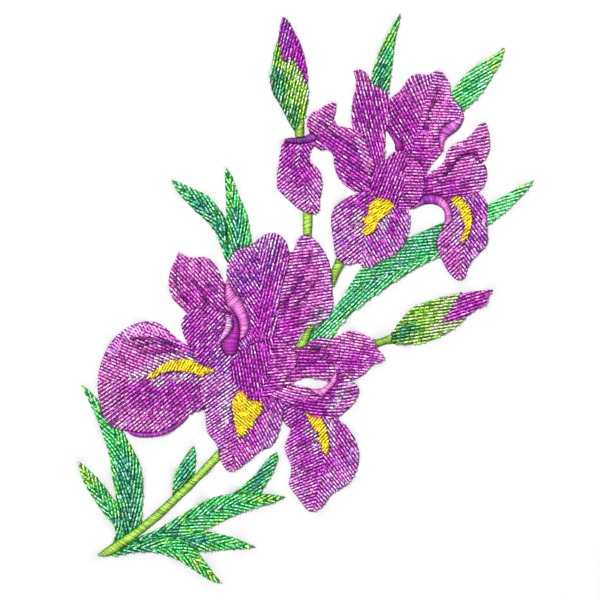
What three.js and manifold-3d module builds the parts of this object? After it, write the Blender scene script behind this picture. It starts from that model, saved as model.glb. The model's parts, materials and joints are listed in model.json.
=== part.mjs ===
// A square panel of white cloth, machine embroidered with a spray of two irises.
//
// The panel lies flat. Its origin is the middle of its underside, +Z is up, out of the stitched face,
// and +Y is the top of the design. From the bottom it holds the bobbin thread that shows on the back,
// a backing that steadies the stitches, the ground cloth with its turned hem, and one patch of thread
// for each petal, leaf, stem, bud and beard. Units are millimetres.
import * as THREE from "three";
import { mergeVertices } from "three/addons/utils/BufferGeometryUtils.js";
import Module from "manifold-3d";

const wasm = await Module();
wasm.setup();

// ---- Driving dimensions ----
const panelSide = 200;
const cornerRadius = 1.5;
const hemWidth = 8;
const clothThick = 0.5;
const backingThick = 0.5;
const bobbinThick = 0.25;
const fillThick = 0.5; // rows of running fill stitches
const satinThick = 1; // padded satin columns: stems and turned petal edges
const beardThick = 0.5; // sewn on top of a petal's fill
const patchGap = 0.3; // between a patch and the one in front of it
const backingMargin = 4; // kept round the loose outline of the design when the backing is trimmed
const bobbinMargin = 0.6; // how far the bobbin thread reaches past a patch's edge
const hemThreadWide = 0.4;
const hemThreadThick = 0.25;
const hemThreadInset = 1.5; // from the hem's inner edge

// ---- Heights of the layers, from the surface that the panel lies on ----
const backingBottom = bobbinThick;
const clothBottom = backingBottom + backingThick;
const clothTop = clothBottom + clothThick;
const fillTop = clothTop + fillThick;

const edgeSteps = 2; // straight steps between two points of an outline
const sharpTurn = -0.2; // cosine of the turn past which an outline's corner counts as sharp
const cutHeight = 6; // taller than any patch

// ---- Thread and cloth colours ----
const finishes = {
  cloth: { color: 0xf7f7f5, roughness: 0.9, metalness: 0 },
  backing: { color: 0xefefec, roughness: 1, metalness: 0 },
  white: { color: 0xf4f3f0, roughness: 0.6, metalness: 0 },
  orchid: { color: 0xb452b4, roughness: 0.45, metalness: 0 },
  plum: { color: 0x8a2595, roughness: 0.45, metalness: 0 },
  lilac: { color: 0xcf9fdc, roughness: 0.45, metalness: 0 },
  gold: { color: 0xffd000, roughness: 0.45, metalness: 0 },
  lime: { color: 0x9ccb33, roughness: 0.4, metalness: 0 },
  leaf: { color: 0x35b36a, roughness: 0.45, metalness: 0 },
  sheath: { color: 0x7fb23a, roughness: 0.45, metalness: 0 },
};

// ---- Outlines ----
// Each is a closed curve through its points. A third value of 1 makes a point a sharp corner.
// The patches are listed from the front of the design to the back, and each is cut away where one
// in front of it lies, so a patch may reach as far under the ones above it as is handy.

const lowerFlower = [
  ["lower_centre_style", "orchid", "fill", [
    [-6.5, -10.4, 1], [-4.2, -12], [-2.3, -13.6], [-0.7, -16, 1], [-1.6, -18.6], [-3.3, -21.2],
    [-5.6, -24.2], [-8.5, -26.8], [-11.2, -28.3, 1], [-13.6, -28], [-15.6, -26], [-17.6, -23.6],
    [-19, -20.6], [-18.6, -17.8], [-17.3, -15.2], [-15.2, -13.6], [-12.4, -12.2], [-9.4, -11.3],
  ]],
  ["lower_left_crest_lining", "lilac", "satin", [
    [-20.8, -4.2, 1], [-19.6, -4.4], [-19, -6], [-19.1, -7.9], [-20.2, -9.6], [-21.8, -11.3],
    [-23.1, -12.6, 1], [-22.7, -11], [-21.6, -9.2], [-20.9, -6.8],
  ]],
  ["lower_left_crest", "orchid", "fill", [
    [-31.3, -4, 1], [-29.7, -2.6], [-28.2, -1.6], [-26.4, -0.9, 1], [-24.8, -2.4], [-22.6, -3.4],
    [-20, -3.8], [-19.8, -7], [-20.6, -9.6], [-22.4, -12.2], [-21.6, -14.6], [-20.2, -16],
    [-18.4, -15.4], [-16.4, -18], [-17.6, -20.4], [-21, -20.1], [-24, -19.5], [-26.6, -18.6],
    [-28.4, -16.9], [-29.9, -14.4], [-31.5, -12], [-32.6, -9.2], [-33, -6.6], [-32.4, -5],
  ]],
  ["lower_left_curl", "plum", "satin", [
    [-19.6, -2.4, 1], [-18, -4.4], [-17.1, -6.8], [-17, -9.6], [-17.2, -12], [-17.6, -14.6],
    [-19.6, -16, 1], [-21.4, -15.2], [-22.7, -13.6], [-22.2, -12], [-19, -9], [-18.6, -6.5],
  ]],
  ["lower_left_lining", "orchid", "satin", [
    [-20.3, 6.2, 1], [-19.3, 3.6], [-17.8, 1.4], [-16.2, 0], [-15.6, -2.2], [-14.8, -4.2],
    [-14.2, -6.8], [-14.9, -9], [-16.8, -11.6, 1], [-17.6, -8.6], [-17.9, -5.6], [-19.4, -3],
    [-20.6, -1], [-20.9, 2.6],
  ]],
  ["lower_centre_beard", "gold", "beard", [
    [-16.4, -25.6, 1], [-14.8, -26.6], [-12.8, -27.8], [-11.1, -28.2], [-10.7, -30.6],
    [-11.8, -32.4], [-13, -33.9], [-13.5, -35.9, 1], [-14.7, -35.7], [-15.4, -37.8, 1],
    [-16.9, -38.2, 1], [-17.7, -36], [-18.2, -33.5], [-18.6, -31], [-18.8, -28.8], [-17.8, -26.8],
  ]],
  ["lower_centre_fall", "orchid", "fill", [
    [-27, -21.6], [-27.8, -24], [-27.7, -26.6], [-27, -29.4], [-26.3, -32], [-26.1, -35],
    [-25.5, -37.5], [-23.9, -39.4], [-22.7, -41.5], [-22.3, -44], [-21.3, -46.5], [-19.6, -47.9],
    [-17.3, -47.1], [-15, -45.4], [-13, -43.6], [-11, -42.1], [-8.7, -41.3], [-7.1, -39.8],
    [-6.1, -37.2], [-5.5, -34.4], [-4.8, -31.8], [-5.2, -29.2], [-8, -27], [-12, -25], [-16, -22],
    [-19, -19.6], [-22.4, -20], [-24.8, -20.3],
  ]],
  ["lower_right_fold", "orchid", "satin", [
    [10.2, -20.3, 1], [9, -21.8], [8, -23.4], [6.6, -24.7], [4.6, -25.1], [3.2, -25], [4.6, -26.2],
    [6.3, -27.3, 1], [7.6, -25.7], [9.2, -24], [10.2, -22.6],
  ]],
  ["lower_right_crest", "orchid", "fill", [
    [-11, -28.4, 1], [-8.2, -26], [-5.4, -25], [-3, -24.1], [0, -24.2], [3.2, -24.9], [6, -25.2],
    [8, -23.4], [10.2, -20.6, 1], [12.6, -21.2], [14, -22.4], [15.4, -23.6], [16.4, -25.2],
    [15.9, -27], [14.8, -28.9], [13.3, -30.6], [11.4, -32.2], [9.6, -33.1], [7, -32.9],
    [4.4, -32.7], [2.2, -31.7], [0.2, -30.2], [-2.6, -29.2], [-6.4, -28.8],
  ]],
  ["lower_left_beard", "gold", "beard", [
    [-42.9, -22.1, 1], [-42.3, -21], [-40.8, -20.2], [-38.6, -18.4], [-36, -17.2], [-33, -16.8], [-30.2, -17.1],
    [-28, -18.2], [-26, -19], [-23.6, -19.8, 1], [-25, -20.7], [-26.6, -21.5, 1], [-28.4, -20.7],
    [-31, -20.1], [-34, -19.6], [-37, -19.9], [-39.4, -20.7], [-40.8, -21.7, 1],
    [-41.7, -21.6],
  ]],
  ["lower_left_fall_rim", "plum", "satin", [
    [-48.4, -36.6, 1], [-46, -37], [-43, -37.3], [-39.4, -36.9], [-36, -35.7], [-33, -33.7],
    [-31, -32, 1], [-33, -34.5], [-36, -36.6], [-39.4, -37.9], [-43, -38.4], [-46.6, -37.9],
  ]],
  ["lower_left_fall", "orchid", "fill", [
    [-27, -12.8], [-30.2, -13.2], [-32.8, -12.1], [-35, -10.6], [-37, -8.6], [-39.2, -6.9],
    [-42, -6.1], [-45.2, -6.5], [-48.2, -7.8], [-51.2, -10.1], [-53.6, -13.1], [-55.3, -17],
    [-56.3, -21], [-56.5, -25], [-55.8, -29.2], [-54.6, -33], [-52.4, -35.5], [-49.6, -36.4],
    [-46, -37.3], [-42.6, -37.8], [-39, -37.3], [-35.8, -35.9], [-33, -34], [-30.4, -31.6],
    [-28.2, -30.8], [-25, -29.6], [-24, -25], [-22, -19.6], [-25, -16],
  ]],
  ["lower_right_beard", "gold", "beard", [
    [1.6, -31.4, 1], [3.6, -32.2], [5.2, -33], [6.4, -34.2], [7.2, -36.2], [7.8, -38.6],
    [7.9, -41], [7.2, -43.1, 1], [6.4, -42.4], [6.2, -40.7], [5.2, -39.2, 1], [5.6, -37.8],
    [5, -36.4], [4.1, -36.5, 1], [3.6, -34.9], [2.7, -33.4],
  ]],
  ["lower_right_arm", "orchid", "fill", [
    [-6, -14], [-3, -12.6], [0.4, -13.8], [3.2, -11.5], [6, -10.6], [9, -11], [11.4, -10],
    [13.6, -8.9], [16, -9], [18.4, -10.1], [20.6, -11.3], [21, -13.2], [22.4, -14.7],
    [23.7, -16.3, 1], [22.6, -17.2], [20.8, -17.7], [19.6, -18.8], [18, -20.6], [16, -21.8],
    [14, -22.2], [11.6, -21.8], [9.6, -22.8], [8.6, -22.7, 1], [6.4, -22.2], [4, -21.7],
    [1.4, -21.6], [-1, -22.4], [-3.4, -24.1, 1], [-6, -26], [-9, -24],
  ]],
  ["lower_right_fall", "orchid", "fill", [
    [-6, -28.4], [-4.9, -33.6, 1], [-2.3, -36.2, 1], [-3.2, -38.8], [-4.1, -41], [-3.4, -43.8],
    [-2.3, -46.6], [-2.5, -49.4], [-3, -51.7], [-1.3, -54.1], [0.4, -56.4], [1.9, -58.5],
    [3.4, -59.2], [5, -58.6], [6.8, -57], [8, -55.1], [10.4, -53.3], [13, -51.5], [15, -49.3],
    [16.1, -46.2], [16.3, -43], [15.6, -40], [14.2, -37.2], [12.4, -35], [10.2, -33.2],
    [9, -31], [4, -29], [-1, -27],
  ]],
  ["lower_back_standard", "plum", "fill", [
    [-20.3, 8.6], [-19.6, 11.4], [-18, 13.6], [-16, 14.6], [-13.3, 15.4], [-11.2, 17.2],
    [-8.6, 18.7], [-5.8, 18.1], [-4, 16], [-3.3, 13.3], [-3.3, 10.2], [-4.3, 6.6], [-5.4, 3],
    [-6, -1], [-6.4, -5], [-6.9, -8.4], [-6.6, -11.4], [-9, -13.4], [-13, -15], [-17.4, -16],
    [-16.6, -11.4], [-15.4, -8.6], [-15, -5], [-16.4, -1.8], [-17, 0.2], [-19, 3], [-20.2, 5.6],
  ]],
  ["lower_left_standard", "orchid", "fill", [
    [-33.7, 13.4, 1], [-32.2, 12.1], [-30, 11.6], [-27.6, 11.9], [-25.4, 11.3], [-23.6, 9.4],
    [-22.4, 7], [-21.4, 5], [-20.3, 3.4], [-19.4, 1], [-18.8, -3], [-20, -6], [-24, -6.5],
    [-28, -5], [-31.2, -3.9, 1], [-32.8, -2.1], [-35, -0.2], [-36.2, 2.5], [-36.6, 5.5],
    [-36, 8.4], [-34.9, 10.7], [-34.4, 12],
  ]],
  ["lower_right_standard", "orchid", "fill", [
    [-5.4, 11.6], [-3.3, 13.2], [-1.7, 13.5], [-1, 15.6], [0.3, 17.7], [2.3, 17.9], [4.6, 16.2],
    [6.8, 13.3], [8.2, 10], [8.8, 6], [9, 2], [9.1, -1.6], [8.1, -4.5], [6, -6.1], [3.4, -7],
    [1.4, -8.2], [-0.2, -10.2], [-1.2, -12.2], [-2.4, -13.4], [-4.6, -13], [-7.6, -11],
    [-7.8, -4], [-7.2, 2], [-6, 8],
  ]],
];

const upperFlower = [
  ["upper_centre_style", "plum", "fill", [
    [20.2, 30.2], [20, 33], [20.4, 36], [22.2, 38], [24.6, 39.5], [26.2, 41.2], [28.4, 41.8],
    [30.2, 40.8], [32, 39.6], [33.6, 38.2], [34.6, 36], [34.8, 33.4], [34.6, 30.8], [33.8, 28.6],
    [32.4, 26.8], [30.4, 25.6], [28.2, 25.7], [26.4, 26.6], [25.2, 28, 1], [23, 28.5],
    [21.4, 29.2],
  ]],
  ["upper_right_arch", "plum", "satin", [
    [29.8, 25.2, 1], [31.6, 26.6], [33.4, 28.4], [35.8, 29.5], [38.4, 29.3], [40.5, 28.2],
    [41.7, 26.4], [42.5, 24.2], [42.7, 22.4, 1], [41.4, 21.4], [40.4, 21.1, 1], [40.7, 23],
    [40.4, 25], [39, 26.4], [37, 27], [34.6, 26.8], [32.2, 25.9],
  ]],
  ["upper_left_beard", "gold", "beard", [
    [20.6, 27.8, 1], [23, 28.6], [25, 28], [26.1, 26.5, 1], [25.3, 25.2], [24, 24], [22.4, 22.7],
    [21.3, 21], [20.4, 19.1], [18.8, 18.3, 1], [17.5, 18.9], [18.2, 20.3], [18.3, 21.5],
    [17.7, 22.7, 1], [18.9, 23.7], [19.3, 25], [19.7, 26.5],
  ]],
  ["upper_left_fall", "orchid", "fill", [
    [22, 31], [20, 30.3], [17.4, 30], [14.4, 29], [11.6, 27.5], [9.7, 25.5], [8.9, 23],
    [9, 20], [9.5, 17], [9.8, 14], [10.5, 11.8], [12.3, 10.3], [14.4, 10.1], [16, 10.6],
    [17.6, 9.6], [19.3, 9], [21, 9.7], [22.6, 10.9], [25.2, 12.1], [28, 14], [29.6, 16.4],
    [30.2, 19], [30.8, 21.8], [30.5, 24.3], [29.4, 26.4], [27, 29],
  ]],
  ["upper_right_crest", "orchid", "fill", [
    [33.6, 29], [34, 32.4], [36, 33.4], [38.4, 34], [40.9, 34.8], [42.8, 36.6], [44, 38.9],
    [45.5, 40.2], [47.3, 40.5], [48.8, 39.6], [50.2, 38.3], [51.4, 38.1], [52.1, 36.6],
    [52.2, 34.6], [51.5, 32.4], [50.1, 30.6], [48.2, 29.5], [46, 29], [43, 29.1], [41, 28],
    [37, 28],
  ]],
  ["upper_right_standard", "orchid", "fill", [
    [33.6, 32], [36, 35.4], [37.9, 36.4], [39.5, 37.5], [40.8, 39.4], [41.3, 41.4], [43.2, 43.4],
    [46, 44.6], [48.4, 46.6], [50.3, 49], [51.9, 49.5, 1], [52.6, 47], [52.9, 44.2], [52.9, 42],
    [52.1, 39.9], [50.2, 37.9], [47, 37], [43, 34], [38, 31.5],
  ]],
  ["upper_right_beard", "gold", "beard", [
    [41.9, 29, 1], [43.5, 29.3], [45, 28.5], [46.6, 26.8], [47.6, 24.8], [47.9, 22],
    [47.5, 19.6], [46.6, 17.6], [45.4, 16.2, 1], [45.4, 18], [46.2, 19.6], [46.3, 21.4],
    [45.3, 22.6, 1], [45.3, 24.4], [44.2, 25.8, 1], [42.9, 27],
  ]],
  ["upper_right_fall", "orchid", "fill", [
    [41, 30], [45, 31], [50, 30], [51.8, 28], [52.5, 26], [52.3, 23.6], [52.2, 21],
    [52.3, 18.5], [52.4, 16.5], [51.5, 14.6], [49.5, 12.6], [47.5, 10.5], [46.7, 8.5],
    [46.2, 6.7], [45, 5.7], [43.5, 6.1], [42, 7.6], [40.7, 9.7], [39.5, 12], [38.3, 14.6],
    [38.7, 17.5], [40, 20], [41.2, 21.8], [41.6, 25],
  ]],
  ["upper_hanging_fold", "plum", "satin", [
    [-4, 45, 1], [-2.4, 45.3], [-0.6, 45.3], [1.4, 45.7], [3, 46.6, 1], [4, 45.9], [4.4, 44.9],
    [3, 44.3], [1.4, 43.9], [-0.8, 43.8], [-3.7, 44.1, 1],
  ]],
  ["upper_left_arm", "orchid", "fill", [
    [9.9, 55, 1], [8, 54.8], [5.6, 53.3], [3.5, 52.2], [2.3, 50.6], [2.1, 48.8], [2.7, 47.2],
    [3, 45.8], [3.4, 44.4, 1], [4.4, 43.2], [5.8, 42.1], [7.4, 42.3], [8.9, 41.5], [9.6, 39.8],
    [9.9, 37.2], [10.5, 35.2], [12, 33], [14, 31.3], [16, 30.5], [18.4, 30.1], [21, 29.8],
    [22, 33], [21, 37], [19.8, 40], [18.6, 43.4], [17.4, 46.4], [15.4, 47.4], [12.8, 48.1],
    [10.5, 48.7], [9.4, 50.5], [9.8, 52.5],
  ]],
  ["upper_hanging_fall", "orchid", "fill", [
    [-4, 45], [0, 45], [3, 45], [3.9, 43.2, 1], [2.7, 41.2], [2.6, 39.5], [3.6, 37.8],
    [5, 36.5], [5.8, 34.4], [6.1, 32], [5.7, 29.5], [5.3, 27.2], [5.3, 25.3], [4.3, 24.2],
    [2.5, 24.4], [0.8, 25.1], [-1.4, 26.5], [-3.5, 28.5], [-5.1, 30.1], [-6.2, 31.3],
    [-6.2, 33], [-6.3, 35], [-5.8, 37.5], [-5.6, 40], [-5.2, 42.2],
  ]],
  ["upper_left_standard", "orchid", "fill", [
    [15.1, 64, 1], [16.8, 64.4], [18.7, 63.3], [19.5, 61.3], [20.7, 59.9], [22.4, 59.3],
    [23.7, 58.4], [24.6, 56.6], [25.3, 54.8], [25.4, 52], [24.7, 49.6], [23.9, 48],
    [23.8, 45.4], [23.6, 42], [23.5, 39.6], [22.6, 36.6], [20, 34], [17, 38], [16, 43],
    [15, 47.6], [14.7, 49.6], [14.6, 52], [14.8, 55], [15.3, 57.4], [16, 59.4], [15.8, 61.5],
  ]],
  ["upper_back_fold", "orchid", "satin", [
    [45.4, 53, 1], [45.7, 51.4], [45.2, 49.4], [43.9, 47.6], [42.1, 46.3], [40.8, 45.3],
    [40.1, 44], [39.9, 41.6, 1], [39.2, 43.4], [39, 45.8], [39.4, 47.7], [41, 49.2],
    [43.2, 50], [44.6, 51.2],
  ]],
  ["upper_back_lining", "plum", "satin", [
    [23.9, 49, 1], [25.2, 48], [26.8, 45.7], [28.8, 43.9], [28.7, 41.6, 1], [26.9, 41.9],
    [26.7, 43.6], [25.7, 45.6], [23.8, 48.2, 1],
  ]],
  ["upper_back_standard", "orchid", "fill", [
    [24.4, 55.4], [27.4, 57.8], [29, 59.6], [30.3, 61.7], [31.8, 62.9], [34, 63.1],
    [36.2, 62.9], [38, 63.9], [39.3, 64], [40.6, 62.5], [41.8, 60.3], [42.2, 57.6],
    [43.6, 55.3], [45, 53.8], [45.6, 52.2], [44.8, 49.6], [41.4, 47.6], [40, 44],
    [39.5, 41.2], [38.4, 39.8], [36.9, 38.6], [35.8, 36.6], [34, 34], [31, 36], [28, 40],
    [26.8, 43.8], [24.6, 47.4], [23.2, 49.4], [23.6, 52],
  ]],
];

const stemsAndBuds = [
  ["stem_main", "lime", "satin", [
    [-56.5, -71.3, 1], [-52.2, -68], [-48, -65.4], [-44, -62.3], [-40, -58.9], [-35, -54.3],
    [-30, -49.6], [-25.5, -44.8], [-20.5, -39.4, 1], [-18.6, -41, 1], [-25, -47.1],
    [-30, -52.4], [-35, -57], [-39, -60.9], [-42.4, -63.7], [-46.5, -67], [-50.5, -69.8],
    [-53.6, -71.5],
  ]],
  ["stem_middle_lower", "lime", "satin", [
    [-2, -13, 1], [-1.2, -15.2], [0.6, -14.6], [1.9, -12.3], [2.9, -9.6], [4, -7], [4.4, -5.4, 1],
    [2.6, -6.6], [1, -9.4], [-0.6, -12.2],
  ]],
  ["stem_middle_upper", "lime", "satin", [
    [7, 3.4], [8.4, 7.2], [9.4, 9.6], [11, 12.6], [13.4, 12, 1], [12.2, 10], [10.9, 7.5],
    [9.9, 5.2], [9, 3, 1],
  ]],
  ["stem_left", "lime", "satin", [
    [1, 26, 1], [1, 22], [1.1, 17, 1], [3, 17, 1], [3.2, 21], [3.3, 26, 1],
  ]],
  ["stem_left_bud", "lime", "satin", [
    [-1.4, 47.4, 1], [-1, 44.6, 1], [0.9, 44.6, 1], [1, 47.4], [1.1, 50.6, 1], [0.2, 50.2],
    [-0.5, 48.6],
  ]],
  ["stem_right_bud", "lime", "satin", [
    [19.6, -11.4, 1], [22.4, -11], [24.4, -10.2], [25.6, -9.8, 1], [25.6, -12.1, 1],
    [23.6, -12.3], [20.6, -13.4, 1],
  ]],
  ["bud_left_petals", "plum", "fill", [
    [-4.7, 79.1, 1], [-5.4, 77], [-5.6, 74.8], [-6.1, 72.6, 1], [-5.3, 70.4], [-4.8, 67.6],
    [-3.8, 66.6, 1], [-2.7, 68.2, 1], [-1.2, 66.6], [0.1, 64.6], [1, 62.8], [1.9, 60.6, 1],
    [1.9, 64], [1.3, 67], [0.6, 69.6], [-0.3, 72.2], [-1.7, 74.8], [-2.8, 77], [-3.6, 78.4],
  ]],
  ["bud_left_sheath", "sheath", "fill", [
    [-1.2, 47, 1], [-2.8, 49.4], [-4.2, 52.3], [-5.8, 55.2], [-7.2, 57.4], [-8, 60],
    [-8.2, 62.6], [-7.7, 66], [-7.1, 69.4], [-6.1, 73, 1], [-3, 71], [1, 67], [2, 60.8, 1],
    [2.2, 58.4], [2, 56], [1.6, 53.4], [1.2, 50.4], [0.6, 48.4, 1],
  ]],
  ["bud_right_petals", "plum", "fill", [
    [45, 1.5, 1], [48, 2.2], [51, 2.5], [53.9, 2.8, 1], [52.8, 1.2], [52.4, 0], [51.8, -1.2, 1],
    [50, -2.2], [47.6, -3.8], [45.4, -5.1], [43, -5.8], [40, -5.9, 1], [41.6, -4], [43.2, -1.6],
  ]],
  ["bud_right_sheath", "sheath", "fill", [
    [24, -10.8, 1], [26, -9], [28, -6.1], [30, -3.8], [32.6, -1.8], [35.6, -0.6], [39, 0.3],
    [42, 1.2], [45.4, 1.9, 1], [47, -1], [46.6, -4.6, 1], [44.6, -6.6], [42.4, -8.2],
    [40, -9.7], [37, -11], [34, -12], [30, -12.3], [27, -12.2], [24.2, -12, 1],
  ]],
];

const leaves = [
  ["leaf_lower_right", "leaf", "fill", [
    [-22.2, -79.1, 1], [-24.8, -76], [-27, -73], [-29.5, -70], [-32.5, -68.1], [-36, -67],
    [-40, -67], [-44, -67.7], [-48, -69], [-54.5, -70.8, 1], [-52.5, -71.5], [-50, -71.2],
    [-46, -70.4], [-42, -70.4], [-38, -71], [-34, -72.6], [-30.5, -74.8], [-27.5, -76.8],
    [-24.5, -78.6],
  ]],
  ["leaf_long_right", "leaf", "fill", [
    [-4.2, -55.2, 1], [-8, -54.6], [-12, -54.4], [-17, -54.4], [-21, -54.7], [-24, -55.4],
    [-27.5, -57], [-31, -59], [-34.5, -61.2], [-38, -63.3], [-41.5, -65.1], [-45, -66.4],
    [-49, -68.4, 1], [-46.5, -68.4], [-42, -67.3], [-38, -66.7], [-34, -66], [-30, -65.1],
    [-26, -63.8], [-22, -61.9], [-18, -60.1], [-14.5, -58.7], [-11, -57.7], [-7, -56.4],
  ]],
  ["leaf_middle_right", "leaf", "fill", [
    [-12.5, -69.2, 1], [-16, -67.8], [-19, -66.6], [-23, -65.6], [-26.5, -64.9], [-30, -64.6],
    [-36, -66, 1], [-34.5, -67.6], [-31.4, -69], [-28.6, -70.3, 1], [-24, -70], [-20, -69.7],
    [-16, -69.4],
  ]],
  ["leaf_behind_right", "leaf", "fill", [
    [-6.7, -42.7, 1], [-9.3, -45], [-12.2, -48.7], [-15.5, -51.8], [-19.4, -54.8, 1],
    [-11.6, -55, 1], [-10.3, -52.5], [-8.7, -50], [-7.2, -47], [-6.2, -44, 1],
  ]],
  ["leaf_by_stem", "leaf", "fill", [
    [-29.8, -41, 1], [-31.6, -43.2], [-33.8, -46.8], [-35.1, -49.8], [-35.6, -54.6, 1],
    [-32, -52.6], [-29.6, -50.4, 1], [-29.7, -48], [-29.3, -45], [-29.5, -42.4],
  ]],
  ["leaf_outer_left", "leaf", "fill", [
    [-62, -45.4, 1], [-61, -49.4], [-59.5, -52.5], [-57.5, -55.8], [-55.5, -58.8],
    [-53.4, -61.3], [-51.9, -63.3], [-51.3, -65.6], [-53, -68.9, 1], [-50, -68], [-49.6, -64],
    [-50, -60.6], [-51, -57.6], [-53, -55], [-55, -52.3], [-57, -49.8], [-60, -47],
  ]],
  ["leaf_tall_left", "leaf", "fill", [
    [-61, -24, 1], [-58.5, -29.4], [-56.5, -33.6], [-55, -38], [-53.6, -42], [-52.8, -46],
    [-52.3, -50], [-51.5, -54], [-51, -58], [-51, -63], [-50, -68, 1], [-46, -65],
    [-44.6, -62.4, 1], [-44.3, -58], [-44.2, -53], [-44.6, -48], [-46, -43.6],
    [-48.2, -39.6], [-50, -36.2], [-53, -32], [-55.8, -29], [-57.4, -27.2], [-59.4, -25.2],
  ]],
  ["leaf_pair_right", "leaf", "fill", [
    [-20.6, 36.9, 1], [-20.9, 33.4], [-20.6, 30], [-20.5, 25], [-20.3, 21.6], [-19.9, 17],
    [-19.6, 11, 1], [-15, 12], [-13.6, 15.6, 1], [-14.3, 20], [-15, 23.8], [-16.5, 27.5],
    [-18.2, 31.5], [-19.2, 34.5],
  ]],
  ["leaf_pair_left", "leaf", "fill", [
    [-35.8, 33.5, 1], [-33, 32.4], [-30, 31], [-27, 29.6], [-24.5, 27.7], [-22.5, 25],
    [-20.6, 22.2], [-18.6, 18], [-19.2, 10.4, 1], [-20.3, 10.6], [-21.8, 14.5],
    [-23.3, 18.5], [-25.5, 21.8], [-29, 24.8], [-32, 28], [-34.5, 31],
  ]],
  ["leaf_top_centre", "leaf", "fill", [
    [28, 80, 1], [25.5, 76], [23.3, 71.5], [21.3, 66.5], [20.1, 62], [20.4, 58, 1],
    [24.4, 57, 1], [25.1, 62], [25.6, 66], [26.3, 71.5], [27.3, 76.5],
  ]],
  ["leaf_top_right", "leaf", "fill", [
    [57.1, 70.4, 1], [54, 68.3], [50, 65.8], [46.5, 63], [44, 60], [42, 56.8], [42.6, 54, 1],
    [45.7, 53, 1], [47.6, 54.8], [50.5, 57.8], [52.8, 61], [55, 64.8], [56.4, 67.8],
  ]],
  ["leaf_long_middle", "leaf", "fill", [
    [0.4, -14.4, 1], [2.6, -10], [5, -7.6], [8.9, -3.4], [12, 0.6], [14.4, 4.6], [17, 8.5],
    [22, 13], [29, 16.6], [33, 18.4], [38, 20.7], [43, 22.8, 1], [44, 14, 1], [39, 12.2],
    [35, 10.5], [30, 7.5], [25, 4.2], [20.5, 1], [16, -2.2], [12.6, -5.3], [10.6, -8],
    [8.8, -10.8, 1], [5, -11],
  ]],
  ["leaf_long_middle_tip", "leaf", "fill", [
    [65.5, 33.5, 1], [61, 31.2], [57, 29], [51, 25.4, 1], [51.4, 20.2, 1], [56, 23.6],
    [60, 27.2], [63, 30.4],
  ]],
];

const patches = [...lowerFlower, ...upperFlower, ...stemsAndBuds, ...leaves];

// A loose outline of the design, for the backing.
const backingOutline = [
  [-62, -80], [-20, -83], [2, -66], [22, -52], [26, -24], [50, -18], [62, 0], [72, 24], [72, 40],
  [60, 60], [62, 76], [34, 83], [8, 74], [-8, 83], [-18, 62], [-16, 46], [-38, 42], [-45, 16],
  [-62, -4], [-70, -30], [-69, -62],
];

// ---- Shapes ----

// The outline's points joined by a smooth curve that breaks at each corner, with spanSteps straight
// steps between two points.
function smoothOutline(points, spanSteps) {
  const corners = points.flatMap((p, i) => (p[2] ? [i] : []));
  const place = (i) => {
    const [x, y] = points[i % points.length];
    return new THREE.Vector3(x, y, 0);
  };
  const runs = corners.length
    ? corners.map((start, k) => {
        const next = corners[(k + 1) % corners.length];
        return [start, next > start ? next : next + points.length];
      })
    : [[0, points.length]];
  const found = [];
  for (const [start, end] of runs) {
    const closed = corners.length === 0;
    const knots = [];
    for (let i = start; i <= (closed ? end - 1 : end); i++) knots.push(place(i));
    const curve = new THREE.CatmullRomCurve3(knots, closed, "centripetal");
    const steps = knots.length === 2 ? 1 : (end - start) * spanSteps; // 1 along a straight side
    for (let s = 0; s < steps; s++) {
      const { x, y } = curve.getPoint(s / steps);
      found.push(new THREE.Vector2(x, y));
    }
  }
  if (THREE.ShapeUtils.area(found) < 0) found.reverse();
  return found;
}

// An outline moved outwards by a distance: each point goes to the mitre of its two edges, or where
// the outline turns back on itself, to the two corners of a square end.
function grown(outline, distance) {
  const count = outline.length;
  return outline.flatMap((p, i) => {
    const before = p.clone().sub(outline[(i + count - 1) % count]).normalize();
    const after = outline[(i + 1) % count].clone().sub(p).normalize();
    const outBefore = new THREE.Vector2(before.y, -before.x);
    const outAfter = new THREE.Vector2(after.y, -after.x);
    if (before.cross(after) > 0 && before.dot(after) < sharpTurn) {
      return [
        p.clone().addScaledVector(outBefore.add(before), distance),
        p.clone().addScaledVector(outAfter.sub(after), distance),
      ];
    }
    const out = outBefore.add(outAfter).normalize();
    const halfTurn = Math.sqrt((1 + before.dot(after)) / 2); // its cosine
    return [p.clone().addScaledVector(out, distance / Math.max(halfTurn, 0.7))];
  });
}

function roundedSquare(side, radius) {
  const shape = new THREE.Shape();
  const half = side / 2 - radius;
  const middles = [[half, -half], [half, half], [-half, half], [-half, -half]];
  middles.forEach(([x, y], k) => {
    shape.absarc(x, y, radius, ((k - 1) * Math.PI) / 2, (k * Math.PI) / 2, false);
  });
  return shape;
}

function slab(shape, bottom, thick, curveSegments = 4) {
  const geometry = new THREE.ExtrudeGeometry(shape, {
    depth: thick,
    bevelEnabled: false,
    steps: 1,
    curveSegments,
  });
  return geometry.translate(0, 0, bottom);
}

function solid(geometry) {
  geometry.deleteAttribute("normal");
  geometry.deleteAttribute("uv");
  const merged = mergeVertices(geometry, 1e-3);
  return new wasm.Manifold(
    new wasm.Mesh({
      numProp: 3,
      vertProperties: merged.attributes.position.array,
      triVerts: new Uint32Array(merged.index.array),
    }),
  );
}

function plate(outline, bottom, thick) {
  return solid(slab(new THREE.Shape(outline), bottom, thick));
}

// The biggest body of a solid that a cut may have parted.
function mainBody(whole) {
  const bodies = whole.decompose();
  return bodies.reduce((best, body) => (body.volume() > best.volume() ? body : best));
}

function bufferGeometry(made) {
  const mesh = made.getMesh();
  const geometry = new THREE.BufferGeometry();
  geometry.setAttribute("position", new THREE.BufferAttribute(mesh.vertProperties, 3));
  geometry.setIndex(new THREE.BufferAttribute(mesh.triVerts, 1));
  geometry.computeVertexNormals();
  return geometry;
}

const panel = new THREE.Group();
panel.name = "embroidered_iris_panel";

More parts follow.
